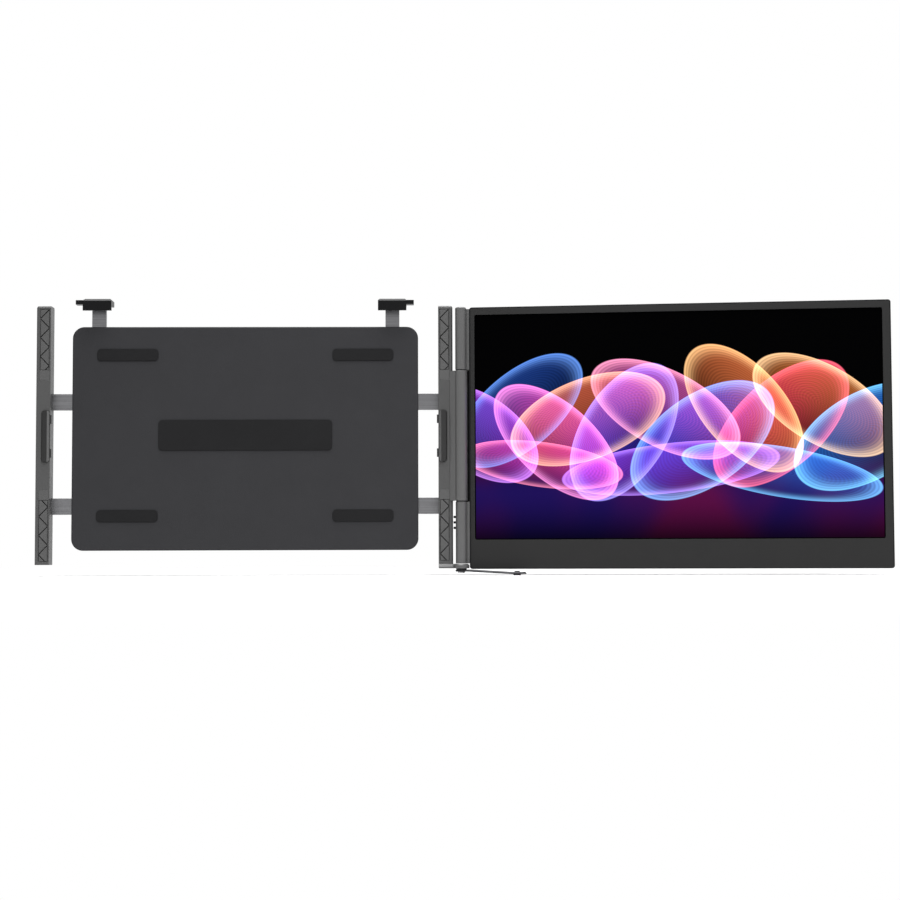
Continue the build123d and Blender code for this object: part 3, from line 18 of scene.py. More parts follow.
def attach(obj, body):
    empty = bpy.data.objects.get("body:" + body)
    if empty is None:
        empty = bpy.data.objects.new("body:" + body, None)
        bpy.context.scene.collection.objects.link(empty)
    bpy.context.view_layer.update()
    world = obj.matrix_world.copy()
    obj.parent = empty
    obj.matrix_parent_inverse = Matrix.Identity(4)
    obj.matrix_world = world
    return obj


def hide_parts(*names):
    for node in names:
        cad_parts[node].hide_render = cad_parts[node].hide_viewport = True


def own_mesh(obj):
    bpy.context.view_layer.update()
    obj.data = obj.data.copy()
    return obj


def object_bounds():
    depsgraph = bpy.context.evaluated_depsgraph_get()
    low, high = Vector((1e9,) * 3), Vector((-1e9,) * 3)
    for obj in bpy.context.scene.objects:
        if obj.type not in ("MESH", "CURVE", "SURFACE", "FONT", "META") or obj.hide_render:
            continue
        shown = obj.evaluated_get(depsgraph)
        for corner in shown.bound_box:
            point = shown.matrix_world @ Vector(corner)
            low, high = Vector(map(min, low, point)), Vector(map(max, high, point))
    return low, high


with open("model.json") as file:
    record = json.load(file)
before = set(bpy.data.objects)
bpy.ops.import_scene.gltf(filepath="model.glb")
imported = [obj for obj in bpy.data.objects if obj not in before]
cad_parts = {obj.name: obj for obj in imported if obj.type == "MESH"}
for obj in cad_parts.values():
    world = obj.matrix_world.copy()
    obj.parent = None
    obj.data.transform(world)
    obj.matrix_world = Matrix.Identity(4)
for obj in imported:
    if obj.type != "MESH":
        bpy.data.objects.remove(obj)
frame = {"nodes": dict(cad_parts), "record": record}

cad_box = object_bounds()

# %% [markdown]
# ## The camera
# The camera stands about one and a half metres in front of the cradle, just above the floor, and looks
# up a little. Such a place can be found by hand, but here it was worked out from the corners of the
# rails and of the display. Blender's camera looks down its own Z axis, so a quarter turn about X
# comes first, and then roll, pitch and yaw. Angles are in degrees, the lens and its sensor in
# millimetres.

# %% Camera
CAMERA_PLACE = (0.15135, -1.56604, -0.10171)
CAMERA_PITCH, CAMERA_YAW, CAMERA_ROLL = 3.233, -0.914, 0.17
CAMERA_LENS, CAMERA_SENSOR = 72.76, 36.0

camera = bpy.data.objects.new("camera", bpy.data.cameras.new("camera"))
camera.data.lens = CAMERA_LENS
camera.data.sensor_width = CAMERA_SENSOR
aim = Matrix.Rotation(math.radians(CAMERA_YAW), 4, "Z")
aim @= Matrix.Rotation(math.radians(CAMERA_PITCH), 4, "X")
aim @= Matrix.Rotation(math.radians(CAMERA_ROLL), 4, "Y")
aim @= Matrix.Rotation(math.radians(90.0), 4, "X")
camera.matrix_world = Matrix.Translation(CAMERA_PLACE) @ aim
bpy.context.scene.collection.objects.link(camera)
bpy.context.scene.camera = camera
bpy.context.scene.view_settings.view_transform = "Standard"
print("camera at", CAMERA_PLACE)

# %% [markdown]
# ## Small tools for node trees
# Every material below is a tree of nodes. Typing each link by hand hides the idea, so five helpers do
# it. One adds a node and fills its sockets, one does sums, one eases a value from one range into
# another, and one mixes two colours. The last turns a colour as it is seen on a screen into light.

# %% Node helpers
def put(tree, kind, inputs=(), **settings):
    """Adds one shader node, sets its settings, then links or fills its sockets."""
    made = tree.nodes.new("ShaderNode" + kind)
    for name, value in settings.items():
        setattr(made, name, value)
    for name, value in dict(inputs).items():
        if isinstance(value, bpy.types.NodeSocket):
            tree.links.new(value, made.inputs[name])
        else:
            made.inputs[name].default_value = value
    return made


def sums(tree, operation, *values):
    """Result of one Math node."""
    return put(tree, "Math", enumerate(values), operation=operation).outputs[0]


def stretch(tree, value, low, high, to_low=0.0, to_high=1.0):
    """Eases a value from the range low..high to the range to_low..to_high."""
    ends = {"Value": value, "From Min": low, "From Max": high, "To Min": to_low, "To Max": to_high}
    return put(tree, "MapRange", ends, interpolation_type="SMOOTHSTEP").outputs["Result"]


def mixed(tree, amount, first, second, way="MIX"):
    """Two colours, sockets 6 and 7 of a Mix node, mixed by an amount into its output 2."""
    inputs = {0: amount, 6: first, 7: second}
    return put(tree, "Mix", inputs, data_type="RGBA", blend_type=way).outputs[2]


def paint(code, lift=1.0):
    """Linear colour of a hex code, by the curve of sRGB screens, made lighter or darker by lift."""
    seen = np.array([int(code[i:i + 2], 16) for i in (0, 2, 4)]) / 255.0
    linear = np.where(seen <= 0.04045, seen / 12.92, ((seen + 0.055) / 1.055) ** 2.4) * lift
    return (*linear.clip(0.0, 1.0).tolist(), 1.0)


print("mid grey on screen is", round(paint("808080")[0], 3), "in light")

# %% [markdown]
# ## Surfaces from arrays
# A surface that bends is easiest to describe as a function of two parameters. The function fills a
# whole grid of points at once, and the first helper joins neighbouring points with four-sided faces.
# The two parameters are kept as the UV map, so that a pattern can follow the surface. The second helper
# closes a grid that is rolled into a tube.

# %% Grid helpers
WELD_WITHIN = 1e-7


def grid_piece(name, points, material):
    """Joins a grid of points, rows by columns, into faces. UV runs 0..1 along columns and rows."""
    rows, columns = points.shape[:2]
    index = np.arange(rows * columns).reshape(rows, columns)
    faces = np.stack([index[:-1, :-1], index[:-1, 1:], index[1:, 1:], index[1:, :-1]], -1).reshape(-1, 4)
    mesh = bpy.data.meshes.new(name)
    mesh.vertices.add(rows * columns)
    mesh.vertices.foreach_set("co", points.reshape(-1).astype(np.float32))
    mesh.loops.add(faces.size)
    mesh.loops.foreach_set("vertex_index", faces.reshape(-1).astype(np.int32))
    mesh.polygons.add(len(faces))
    mesh.polygons.foreach_set("loop_start", np.arange(0, faces.size, 4, dtype=np.int32))
    mesh.update(calc_edges=True)
    along, up = np.meshgrid(np.linspace(0, 1, columns), np.linspace(0, 1, rows))
    flat = np.stack([along, up], -1).reshape(-1, 2)[faces.reshape(-1)]
    mesh.uv_layers.new(name="surface").uv.foreach_set("vector", flat.reshape(-1).astype(np.float32))
    mesh.materials.append(material)
    made = bpy.data.objects.new(name, mesh)
    bpy.context.scene.collection.objects.link(made)
    return made


def weld(piece):
    """Joins the seam and the end points of a closed grid, and drops the faces that have no area."""
    solid = bmesh.new()
    solid.from_mesh(piece.data)
    bmesh.ops.remove_doubles(solid, verts=solid.verts, dist=WELD_WITHIN)
    bmesh.ops.dissolve_degenerate(solid, edges=solid.edges, dist=WELD_WITHIN)
    bmesh.ops.recalc_face_normals(solid, faces=solid.faces)
    solid.to_mesh(piece.data)
    solid.free()


print("surfaces: points within", WELD_WITHIN, "m of each other are welded")

# %% [markdown]
# ## White studio
# The backdrop is plain white. A white world would also light the object from everywhere and leave no
# shading. So the world is white to the camera and in reflections, and grey as a source of light.

# %% World
AMBIENT = 0.22

world = bpy.data.worlds.new("studio")
bpy.context.scene.world = world
world.use_nodes = True
tree = world.node_tree
tree.nodes.clear()
ray = put(tree, "LightPath").outputs
through = sums(tree, "MAXIMUM", ray["Is Glossy Ray"], ray["Is Transmission Ray"])
shown = sums(tree, "MAXIMUM", ray["Is Camera Ray"], through)
level = stretch(tree, shown, low=0.0, high=1.0, to_low=AMBIENT, to_high=1.0)
backdrop = put(tree, "Background", {"Color": (1.0, 1.0, 1.0, 1.0), "Strength": level})
put(tree, "OutputWorld", {"Surface": backdrop.outputs[0]})
print("world: white to see, and", AMBIENT, "of that as light")

# %% [markdown]
# A lamp high at the front right throws short shadows under the clips. A large soft box above lights the
# tops, a long box above and behind shines along their slopes, and a lamp far behind shows the back. A
# lamp could leave a bright patch in the flat faces, so only the two boxes have a mirror image.

# %% Lamps
MIDDLE = (0.18, 0.0, 0.0)


def soft_lamp(name, place, target, wide, tall, watts, mirrored):
    """Rectangular lamp at a place, facing a target, with or without a mirror image in the surfaces."""
    lamp = bpy.data.objects.new(name, bpy.data.lights.new(name, "AREA"))
    lamp.data.shape = "RECTANGLE"
    lamp.data.size = wide
    lamp.data.size_y = tall
    lamp.data.energy = watts
    lamp.location = place
    lamp.visible_glossy = mirrored
    away = lamp.location - Vector(target)
    lamp.rotation_euler = away.to_track_quat("Z", "Y").to_euler()
    bpy.context.scene.collection.objects.link(lamp)
    print(name, "of", watts, "watts at", place)


soft_lamp("key_lamp", (0.75, -1.35, 1.45), MIDDLE, wide=0.6, tall=0.5, watts=38.0, mirrored=False)
soft_lamp("soft_box", (0.18, -0.2, 1.35), MIDDLE, wide=1.3, tall=0.8, watts=30.0, mirrored=True)
soft_lamp("rim_box", (0.05, 1.05, 1.4), (0.05, 0.0, 0.1), wide=1.8, tall=0.6, watts=7.0, mirrored=True)
soft_lamp("back_lamp", (-0.9, 1.9, 0.8), (0.1, 0.0, 0.0), wide=1.0, tall=0.9, watts=24.0, mirrored=False)

# %% [markdown]
# The floor is a round sheet of pale grey under the leg's foot. Its rim fades out, so no horizon shows,
# and what is near the object stays a matt surface that takes its shadow.

# %% Floor
FLOOR_TONE = 0.7
FLOOR_HOLE, FLOOR_REACH = 0.001, 1.15
FLOOR_SPOKES, FLOOR_RINGS = 97, 24
FADE_START, FADE_END = 0.45, 1.1

floor_paper = bpy.data.materials.new("floor_paper")
floor_paper.use_nodes = True
tree = floor_paper.node_tree
tree.nodes.clear()
spot = put(tree, "TexCoord").outputs["Object"]
centred = put(tree, "Mapping", {"Vector": spot, "Location": (-MIDDLE[0], 0.0, 0.0)}).outputs[0]
distance = put(tree, "VectorMath", {0: centred}, operation="LENGTH").outputs["Value"]
fade = stretch(tree, distance, low=FADE_START, high=FADE_END)
matt = put(tree, "BsdfDiffuse", {"Color": (FLOOR_TONE, FLOOR_TONE, FLOOR_TONE, 1.0)})
clear = put(tree, "BsdfTransparent")
sheet = put(tree, "MixShader", {0: fade, 1: matt.outputs[0], 2: clear.outputs[0]})
put(tree, "OutputMaterial", {"Surface": sheet.outputs[0]})


def floor_points(height):
    """Flat disc: the middle plus a radius times the cosine and sine of a turn, all at one height."""
    turns = np.linspace(0, 2 * np.pi, FLOOR_SPOKES)
    turn, out = np.meshgrid(turns, np.linspace(FLOOR_HOLE, FLOOR_REACH, FLOOR_RINGS))
    return np.stack([MIDDLE[0] + out * np.cos(turn), out * np.sin(turn), np.full(turn.shape, height)], -1)


disc = floor_points(cad_box[0][2])
grid_piece("floor", disc, floor_paper)
print("floor at", round(cad_box[0][2], 4), "m")

# %% [markdown]
# ## Effects shared by the finishes
# Real surfaces are never one flat colour. Each effect that several finishes share is a node group, so
# that a finish can place it with its own numbers. The first is the fine grain of moulded and blasted
# faces: small bumps with pits between them, and a slow cloud that makes the tone uneven.

# %% Grain effect
CLOUD_SCALE, CLOUD_SHARE = 32.0, 0.7
GRAIN_SHARE, PIT_SHARE = 0.3, 0.5


def effect(name, inputs, outputs):
    """Starts a shader node group, and gives it with its inner input and output sockets."""
    group = bpy.data.node_groups.new(name, "ShaderNodeTree")
    for label, kind in inputs:
        group.interface.new_socket(label, in_out="INPUT", socket_type="NodeSocket" + kind)
    for label, kind in outputs:
        group.interface.new_socket(label, in_out="OUTPUT", socket_type="NodeSocket" + kind)
    print("effect", name, "gives", [label for label, kind in outputs])
    return group, group.nodes.new("NodeGroupInput").outputs, group.nodes.new("NodeGroupOutput").inputs


def noise(tree, vector, scale, detail=3.0, rough=0.55, bend=0.0):
    """Value of a noise texture."""
    inputs = {"Vector": vector, "Scale": scale, "Detail": detail, "Roughness": rough, "Distortion": bend}
    return put(tree, "TexNoise", inputs).outputs["Fac"]


fine_grain, given, wanted = effect("fine_grain", [("Grains", "Float")],
                                   [("Height", "Float"), ("Tone", "Float")])
spot = put(fine_grain, "TexCoord").outputs["Object"]
grains = noise(fine_grain, spot, given["Grains"])
pits = put(fine_grain, "TexVoronoi", {"Vector": spot, "Scale": given["Grains"]}, feature="SMOOTH_F1")
pitted = sums(fine_grain, "MULTIPLY_ADD", pits.outputs["Distance"], PIT_SHARE, grains)
fine_grain.links.new(pitted, wanted["Height"])
cloud = noise(fine_grain, spot, CLOUD_SCALE, detail=4.0)
speckle = sums(fine_grain, "MULTIPLY", grains, GRAIN_SHARE)
fine_grain.links.new(sums(fine_grain, "MULTIPLY_ADD", cloud, CLOUD_SHARE, speckle), wanted["Tone"])

# %% [markdown]
# Brushing leaves fine lines in steel. They could be modelled as grooves, but they are far too fine. A
# noise that is squeezed across the lines and left long along them looks the same.

# %% Brushing effect
brushed_lines, given, wanted = effect("brushed_lines", [("Stretch", "Vector"), ("Turn", "Vector")],
                                      [("Height", "Float"), ("Tone", "Float")])
spot = put(brushed_lines, "TexCoord").outputs["Object"]
turned = put(brushed_lines, "Mapping", {"Vector": spot, "Rotation": given["Turn"]}).outputs[0]
drawn = put(brushed_lines, "Mapping", {"Vector": turned, "Scale": given["Stretch"]}).outputs[0]
lines = noise(brushed_lines, drawn, scale=1.0, detail=5.0, rough=0.7)
brushed_lines.links.new(lines, wanted["Height"])
brushed_lines.links.new(stretch(brushed_lines, lines, low=0.3, high=0.7), wanted["Tone"])

# %% [markdown]
# Hands polish a surface in soft spots, and now and then leave a hairline scratch. Both change how
# smooth it is, so they are joined into one mask.

# %% Handling effect
HAIRLINE_STRETCH = (260.0, 260.0, 22.0)
HAIRLINE_SHARE = 0.6

handling_marks, given, wanted = effect("handling_marks", [("Marks", "Float")], [("Smudge", "Float")])
spot = put(handling_marks, "TexCoord").outputs["Object"]
touches = noise(handling_marks, spot, given["Marks"], detail=3.0, rough=0.5, bend=1.2)
touch = stretch(handling_marks, touches, low=0.45, high=0.75)
thin = put(handling_marks, "Mapping", {"Vector": spot, "Scale": HAIRLINE_STRETCH}).outputs[0]
scratches = noise(handling_marks, thin, scale=1.0, detail=2.0, rough=0.4, bend=0.4)
hairline = stretch(handling_marks, scratches, low=0.68, high=0.74)
faint = sums(handling_marks, "MULTIPLY", hairline, HAIRLINE_SHARE)
handling_marks.links.new(sums(handling_marks, "MAXIMUM", touch, faint), wanted["Smudge"])

# %% [markdown]
# A coat wears thin along edges, and edges catch the light. The Bevel node bends the normal there, so
# the angle between the bent and the true normal finds the edges, and a noise breaks the pale rim up.
# This pale rim is partly wear and partly a painted highlight. The bent normal itself also rounds the
# edge a little in the light.

# %% Edge effect
EDGE_BREAKS = 180.0

edge_wear_and_highlight, given, wanted = effect("edge_wear_and_highlight", [("Radius", "Float")],
                                  [("WearAndHighlight", "Float"), ("Soft", "Vector")])
# Edge mask for a lighter colour that is partly wear and partly a painted highlight.
round_edge = put(edge_wear_and_highlight, "Bevel", {"Radius": given["Radius"]}, samples=4).outputs["Normal"]
face = put(edge_wear_and_highlight, "NewGeometry").outputs["Normal"]
bent = put(edge_wear_and_highlight, "VectorMath", {0: round_edge, 1: face}, operation="DOT_PRODUCT").outputs["Value"]
rim = stretch(edge_wear_and_highlight, bent, low=0.995, high=0.80)
spot = put(edge_wear_and_highlight, "TexCoord").outputs["Object"]
breaks = noise(edge_wear_and_highlight, spot, EDGE_BREAKS, detail=4.0, rough=0.65)
broken = stretch(edge_wear_and_highlight, breaks, low=0.35, high=0.7)
edge_wear_and_highlight.links.new(sums(edge_wear_and_highlight, "MULTIPLY", rim, broken), wanted["WearAndHighlight"])
edge_wear_and_highlight.links.new(round_edge, wanted["Soft"])

# %% [markdown]
# Grooves, corners and gaps between parts get painted shade: the Ambient Occlusion node finds the places
# that little light from around can reach, and the colour is darker there. The last effect tells the two
# sides of a piece apart for painted light and shade: faces that look towards the middle of the cradle,
# and faces that look away from it.

# %% Corner and side effects
# Painted shade: occluded grooves, corners and gaps between parts come out darker in the colour.
corner_shade, given, wanted = effect("corner_shade", [("Reach", "Float")], [("PaintedShade", "Float")])
hidden = put(corner_shade, "AmbientOcclusion", {"Distance": given["Reach"]}, samples=8).outputs["AO"]
corner_shade.links.new(stretch(corner_shade, hidden, low=0.92, high=0.45), wanted["PaintedShade"])

# Painted light and shade: faces towards the middle can be lit and faces away darkened, as if lit from the
# middle.
side_faces, given, wanted = effect("side_faces", [], [("Inner", "Float"), ("Outer", "Float")])
spot = put(side_faces, "TexCoord").outputs["Object"]
face = put(side_faces, "NewGeometry").outputs["True Normal"]
half = sums(side_faces, "SIGN", put(side_faces, "SeparateXYZ", {0: spot}).outputs["X"])
facing = sums(side_faces, "MULTIPLY", half, put(side_faces, "SeparateXYZ", {0: face}).outputs["X"])
side_faces.links.new(stretch(side_faces, facing, low=-0.3, high=-0.45), wanted["Inner"])
side_faces.links.new(stretch(side_faces, facing, low=0.5, high=0.8), wanted["Outer"])

# %% [markdown]
# ## One base for every grained finish
# A finish starts the same way each time: a colour that drifts a little with the grain, a lighter colour
# along edges that is partly wear and partly a painted highlight, painted shade in corners and gaps, on
# some pieces painted light and shade on their two sides, a roughness that the marks of hands change,
# and a small bump. Only the numbers differ between bead-blasted metal, moulded plastic and rubber.

# %% Base of the grained finishes
CLEAN_MATT, HANDLED_GLOSS = 0.02, 0.04


def use(tree, group, **values):
    """Places a shared effect in a material and gives its outputs."""
    return put(tree, "Group", values, node_tree=group).outputs


def grained(name, colour, grains, roughness, specular, metallic=0.0, drift=0.14, wear_and_highlight=1.6, bump=0.00003,
            radius=0.0004, marks=26.0, reach=0.0015, corner_painted_shade=0.45, inner_painted_light=1.0, outer_painted_shade=1.0):
    """Grained finish whose colour drifts by a share. Edges with wear and a painted highlight, corners
    with painted shade, inner faces with painted light and outer faces with painted shade are lifted by
    their own factors, and handled spots are smoother."""
    material = bpy.data.materials.new(name)
    material.use_nodes = True
    tree = material.node_tree
    shader = tree.nodes["Principled BSDF"]
    grain = use(tree, fine_grain, Grains=grains)
    edge = use(tree, edge_wear_and_highlight, Radius=radius)
    smudge = use(tree, handling_marks, Marks=marks)["Smudge"]
    body = mixed(tree, grain["Tone"], paint(colour, 1.0 - drift), paint(colour, 1.0 + drift))
    # Painted light on faces towards the middle of the cradle, painted shade on faces away from it.
    if inner_painted_light != outer_painted_shade:
        facing = use(tree, side_faces)
        body = mixed(tree, facing["Inner"], body, paint(colour, inner_painted_light))
        body = mixed(tree, facing["Outer"], body, paint(colour, outer_painted_shade))
    # Painted shade: occluded corners and gaps are darkened by their own factor.
    corner_shaded = mixed(tree, use(tree, corner_shade, Reach=reach)["PaintedShade"], body, paint(colour, corner_painted_shade))
    # Edges lighter: partly wear, partly a painted highlight.
    tree.links.new(mixed(tree, edge["WearAndHighlight"], corner_shaded, paint(colour, wear_and_highlight)), shader.inputs["Base Color"])
    clean, handled = roughness + CLEAN_MATT, roughness - HANDLED_GLOSS
    rough = stretch(tree, smudge, low=0.0, high=1.0, to_low=clean, to_high=handled)
    tree.links.new(rough, shader.inputs["Roughness"])
    dents = put(tree, "Bump", {"Height": grain["Height"], "Distance": bump, "Normal": edge["Soft"]})
    tree.links.new(dents.outputs[0], shader.inputs["Normal"])
    shader.inputs["Metallic"].default_value = metallic
    shader.inputs["Specular IOR Level"].default_value = specular
    return material


print("effects to place:", [group.name for group in bpy.data.node_groups])

# %% [markdown]
# Each piece of the frame has a slot in the record, such as rail metal or pad rubber. A finish is given
# to a slot, so all pieces of one kind look alike, and a new piece of that kind gets its finish too.

# %% Slots
slot_of = {part["node"]: part["material_slot"] for part in frame["record"]["subparts"]}


def dress(slot, material):
    """Gives a finish to every piece of the frame that the record puts in this slot."""
    chosen = [name for name, held in slot_of.items() if held == slot]
    for name in chosen:
        mesh = frame["nodes"][name].data
        mesh.materials.clear()
        mesh.materials.append(material)
    print(slot, "on", len(chosen), "pieces")


print("slots to dress:", sorted(set(slot_of.values())))

# %% [markdown]
# ## Rails and hinge: blasted and anodised aluminium
# The rails, the knuckle and the barrels are one grey metal. Blasting leaves a silky grain without
# direction and the coat is not a mirror, so the metallic share is about half and the roughness
# middling. Along the edges the colour is lighter, partly as aluminium where the coat wears off and
# partly as a painted highlight, and corners get painted shade.

# %% Rails and hinge
dress("rail_metal", grained("anodised_rail", "4a4a4a", grains=1500.0, roughness=0.42, specular=0.4,
                            metallic=0.4, drift=0.08, corner_painted_shade=0.3))
dress("hinge_metal", grained("anodised_hinge", "5b5b5b", grains=1500.0, roughness=0.36, specular=0.4,
                             metallic=0.5, drift=0.08, corner_painted_shade=0.8))

# %% [markdown]
# ## Inlays and clips: fine moulded plastic
# The zigzag inlays and the clips are moulded with a fine matt texture. The grooves of the inlays get
# deep painted shade. The side clips get painted light on their inner bevels and painted shade on their
# outer walls, as if lit from the middle of the cradle. The top clips are almost black and smoother, and
# their sloping tops catch the light.

# %% Inlays and clips
dress("inlay_plastic", grained("inlay_moulding", "505050", grains=1900.0, roughness=0.5, specular=0.15,
                               drift=0.08, corner_painted_shade=0.05))
dress("clip_plastic", grained("clip_moulding", "2d2d2d", grains=1900.0, roughness=0.42, specular=0.12,
                              drift=0.1, corner_painted_shade=0.2, inner_painted_light=3.4, outer_painted_shade=0.3))
dress("hook_plastic", grained("hook_moulding", "0c0c0d", grains=1700.0, roughness=0.3, specular=0.12))

# %% [markdown]
# ## Cradle and inner plastics
# The cradle is large and takes knocks, so its texture is coarser and darker. The guides inside it are
# slippery acetal, smooth and even. The light box behind the display is white inside, and the chips on
# the board are black blocks with a fine matt face.

# %% Cradle and inner plastics
dress("cradle_plastic", grained("cradle_moulding", "2c2c2e", grains=1100.0, roughness=0.55, specular=0.15,
                                bump=0.00006))
dress("guide_plastic", grained("black_acetal", "1e1e20", grains=600.0, roughness=0.4, specular=0.4,
                               drift=0.05, wear_and_highlight=1.4))
dress("backlight_plastic", grained("white_reflector", "d8dade", grains=900.0, roughness=0.5, specular=0.3,
                                   drift=0.03, wear_and_highlight=1.05))
dress("chip_plastic", grained("chip_moulding", "121212", grains=2600.0, roughness=0.45, specular=0.35))

# %% [markdown]
# ## Monitor shell
# The front frame is charcoal with a very fine sand texture, and the rear shell is nearly black. Both
# reflect little, so they look deep next to the lit display.

# %% Monitor shell
dress("bezel_plastic", grained("bezel_moulding", "2b2b2b", grains=2400.0, roughness=0.5, specular=0.05,
                               drift=0.07, wear_and_highlight=1.5, radius=0.0005))
dress("shell_plastic", grained("shell_moulding", "19191a", grains=1300.0, roughness=0.5, specular=0.12,
                               bump=0.00005, radius=0.0006))

# %% [markdown]
# ## Rubber and felt
# The pads that touch what the cradle holds are matt silicone, which shows a soft bloom and no sharp
# reflection. The buttons are the same rubber. The brake strips are pressed felt, rough and fibrous.

# %% Rubber and felt
dress("pad_rubber", grained("pad_silicone", "1b1b1c", grains=900.0, roughness=0.72, specular=0.12,
                            drift=0.2, wear_and_highlight=1.3))
dress("button_rubber", grained("button_silicone", "0e0e0e", grains=1500.0, roughness=0.6, specular=0.12,
                               wear_and_highlight=1.3))
dress("brake_felt", grained("pressed_felt", "222225", grains=420.0, roughness=0.95, specular=0.05,
                            drift=0.35, wear_and_highlight=1.1, bump=0.0002))

# %% [markdown]
# ## Steel: bars, pins, screws and leg
# The slide bars are drawn through a die, so their lines run along X. The leg is a strip with satin
# lines along its length, which points a little forward. Screws are blackened, and ports are nickel.

# %% Steel
LEG_SWING = math.radians(14.0)


def brushed(name, colour, lengthways, roughness, metallic=1.0, drift=0.2, turn=(0.0, 0.0, 0.0),
            radius=0.0003, marks=40.0, wear_and_highlight=1.35, streaks=0.12, smears=0.1, bump=0.00001):
    """Brushed metal: fine lines along one axis change the colour, the roughness and the bump."""
    material = bpy.data.materials.new(name)
    material.use_nodes = True
    tree = material.node_tree
    shader = tree.nodes["Principled BSDF"]
    drawn = use(tree, brushed_lines, Stretch=lengthways, Turn=turn)
    edge = use(tree, edge_wear_and_highlight, Radius=radius)
    smudge = use(tree, handling_marks, Marks=marks)["Smudge"]
    body = mixed(tree, drawn["Tone"], paint(colour, 1.0 - drift), paint(colour, 1.0 + drift))
    # Edges lighter: partly wear, partly a painted highlight.
    tree.links.new(mixed(tree, edge["WearAndHighlight"], body, paint(colour, wear_and_highlight)), shader.inputs["Base Color"])
    smeared = stretch(tree, smudge, low=0.0, high=1.0, to_low=roughness, to_high=roughness + smears)
    rough = sums(tree, "MULTIPLY_ADD", drawn["Tone"], streaks, smeared)
    tree.links.new(rough, shader.inputs["Roughness"])
    dents = put(tree, "Bump", {"Height": drawn["Height"], "Distance": bump, "Normal": edge["Soft"]})
    tree.links.new(dents.outputs[0], shader.inputs["Normal"])
    shader.inputs["Metallic"].default_value = metallic
    return material


slide_steel = brushed("drawn_steel", "767678", lengthways=(14.0, 900.0, 900.0), roughness=0.34)
dress("slide_steel", slide_steel)
dress("pin_steel", brushed("ground_steel", "a0a0a2", lengthways=(900.0, 900.0, 40.0), roughness=0.25))
dress("leg_steel", brushed("satin_strip", "323234", lengthways=(16.0, 1100.0, 1100.0), roughness=0.34,
                           metallic=0.7, turn=(0.0, 0.0, LEG_SWING)))
dress("screw_steel", grained("black_zinc", "242426", grains=1500.0, roughness=0.4, specular=0.4,
                             metallic=0.5, wear_and_highlight=2.4))
dress("port_steel", brushed("nickel", "b4b4b4", lengthways=(300.0, 300.0, 300.0), roughness=0.22))

# %% [markdown]
# ## Clip springs
# A bowed leaf pushes each side clip back towards the middle. When the clip is pulled outwards the leaf
# has to flatten, and a rigid solid can't do that. Each leaf is drawn again here as a thin strip in the
# place of its solid.

# %% Leaf shape
LEAF_THICK = 0.0003
LEAF_CLEAR = 0.00005
LEAF_CORNER = 0.25
LEAF_ROWS, LEAF_AROUND = 41, 33


def leaf_points(low, high, outwards):
    """Strip whose middle bows inwards by one minus height squared. Its section is an oblong with soft
    corners, a power of cosine and sine, and shrinks to nothing at the first and last row."""
    heights = np.concatenate([[-1.0], np.linspace(-1.0, 1.0, LEAF_ROWS), [1.0]])
    full = np.concatenate([[0.0], np.ones(LEAF_ROWS), [0.0]])
    height, around = np.meshgrid(heights, np.linspace(0, 2 * np.pi, LEAF_AROUND), indexing="ij")
    soft_cos = np.sign(np.cos(around)) * np.abs(np.cos(around)) ** LEAF_CORNER
    soft_sin = np.sign(np.sin(around)) * np.abs(np.sin(around)) ** LEAF_CORNER
    half_thick, half_deep = LEAF_THICK / 2, (high[1] - low[1]) / 2
    bow = (high[0] - low[0] - LEAF_THICK - LEAF_CLEAR) * (1 - height ** 2)
    end = high[0] - half_thick if outwards > 0 else low[0] + half_thick
    x = end - outwards * bow + half_thick * soft_cos * full[:, None]
    y = (low[1] + high[1]) / 2 - half_deep * soft_sin * full[:, None]
    z = (low[2] + high[2]) / 2 + height * (high[2] - low[2]) / 2
    return np.stack([x, y, z], -1)


print("leaf:", LEAF_ROWS, "rows of", LEAF_AROUND, "points")

# %% [markdown]
# The leaf takes its size from the box of the solid that it stands for, and rides on the same arm.

for side, outwards in (("left", -1.0), ("right", 1.0)):
    solid = frame["nodes"][side + "_clip_spring"]
    corners = np.array([solid.matrix_world @ Vector(corner) for corner in solid.bound_box])
    low, high = corners.min(0), corners.max(0)
    leaf = grid_piece(side + "_spring_leaf", leaf_points(low, high, outwards), slide_steel)
    weld(leaf)
    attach(leaf, side + "_arm")
    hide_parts(side + "_clip_spring")
    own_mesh(leaf)
    print(leaf.name, "with", len(leaf.data.polygons), "faces")

# %% [markdown]
# ## Board, ribbon and panel
# Inside the shell are a green board and an amber ribbon. Nobody sees them with the shell closed, but the
# pieces may be shown apart, so they get their own finish too. The display panel is dark glass, which
# the lit film covers.

# %% Board, ribbon and panel
dress("board_laminate", grained("solder_mask", "0f4026", grains=700.0, roughness=0.35, specular=0.5,
                                drift=0.25, wear_and_highlight=1.8))
dress("ribbon_film", grained("amber_film", "8a5214", grains=500.0, roughness=0.3, specular=0.5,
                             drift=0.15, wear_and_highlight=1.2))
dress("screen_glass", grained("dark_glass", "060608", grains=2200.0, roughness=0.4, specular=0.1, wear_and_highlight=1.2))

# %% [markdown]
# ## The lit display
# The front film of the display glows with a picture, which is drawn here as overlapping translucent
# petals. A petal is an oval: the distance from its middle, measured in its own turned and stretched
# frame, is one at its rim. Close to the rim it shines, inside it holds a faint fill with fine
# contour lines. Adding petals of several colours gives lighter colours where they overlap.

# %% Petal effect
RIM_POWER = 4.0
CONTOURS, CONTOUR_DEPTH = 150.0, 0.16

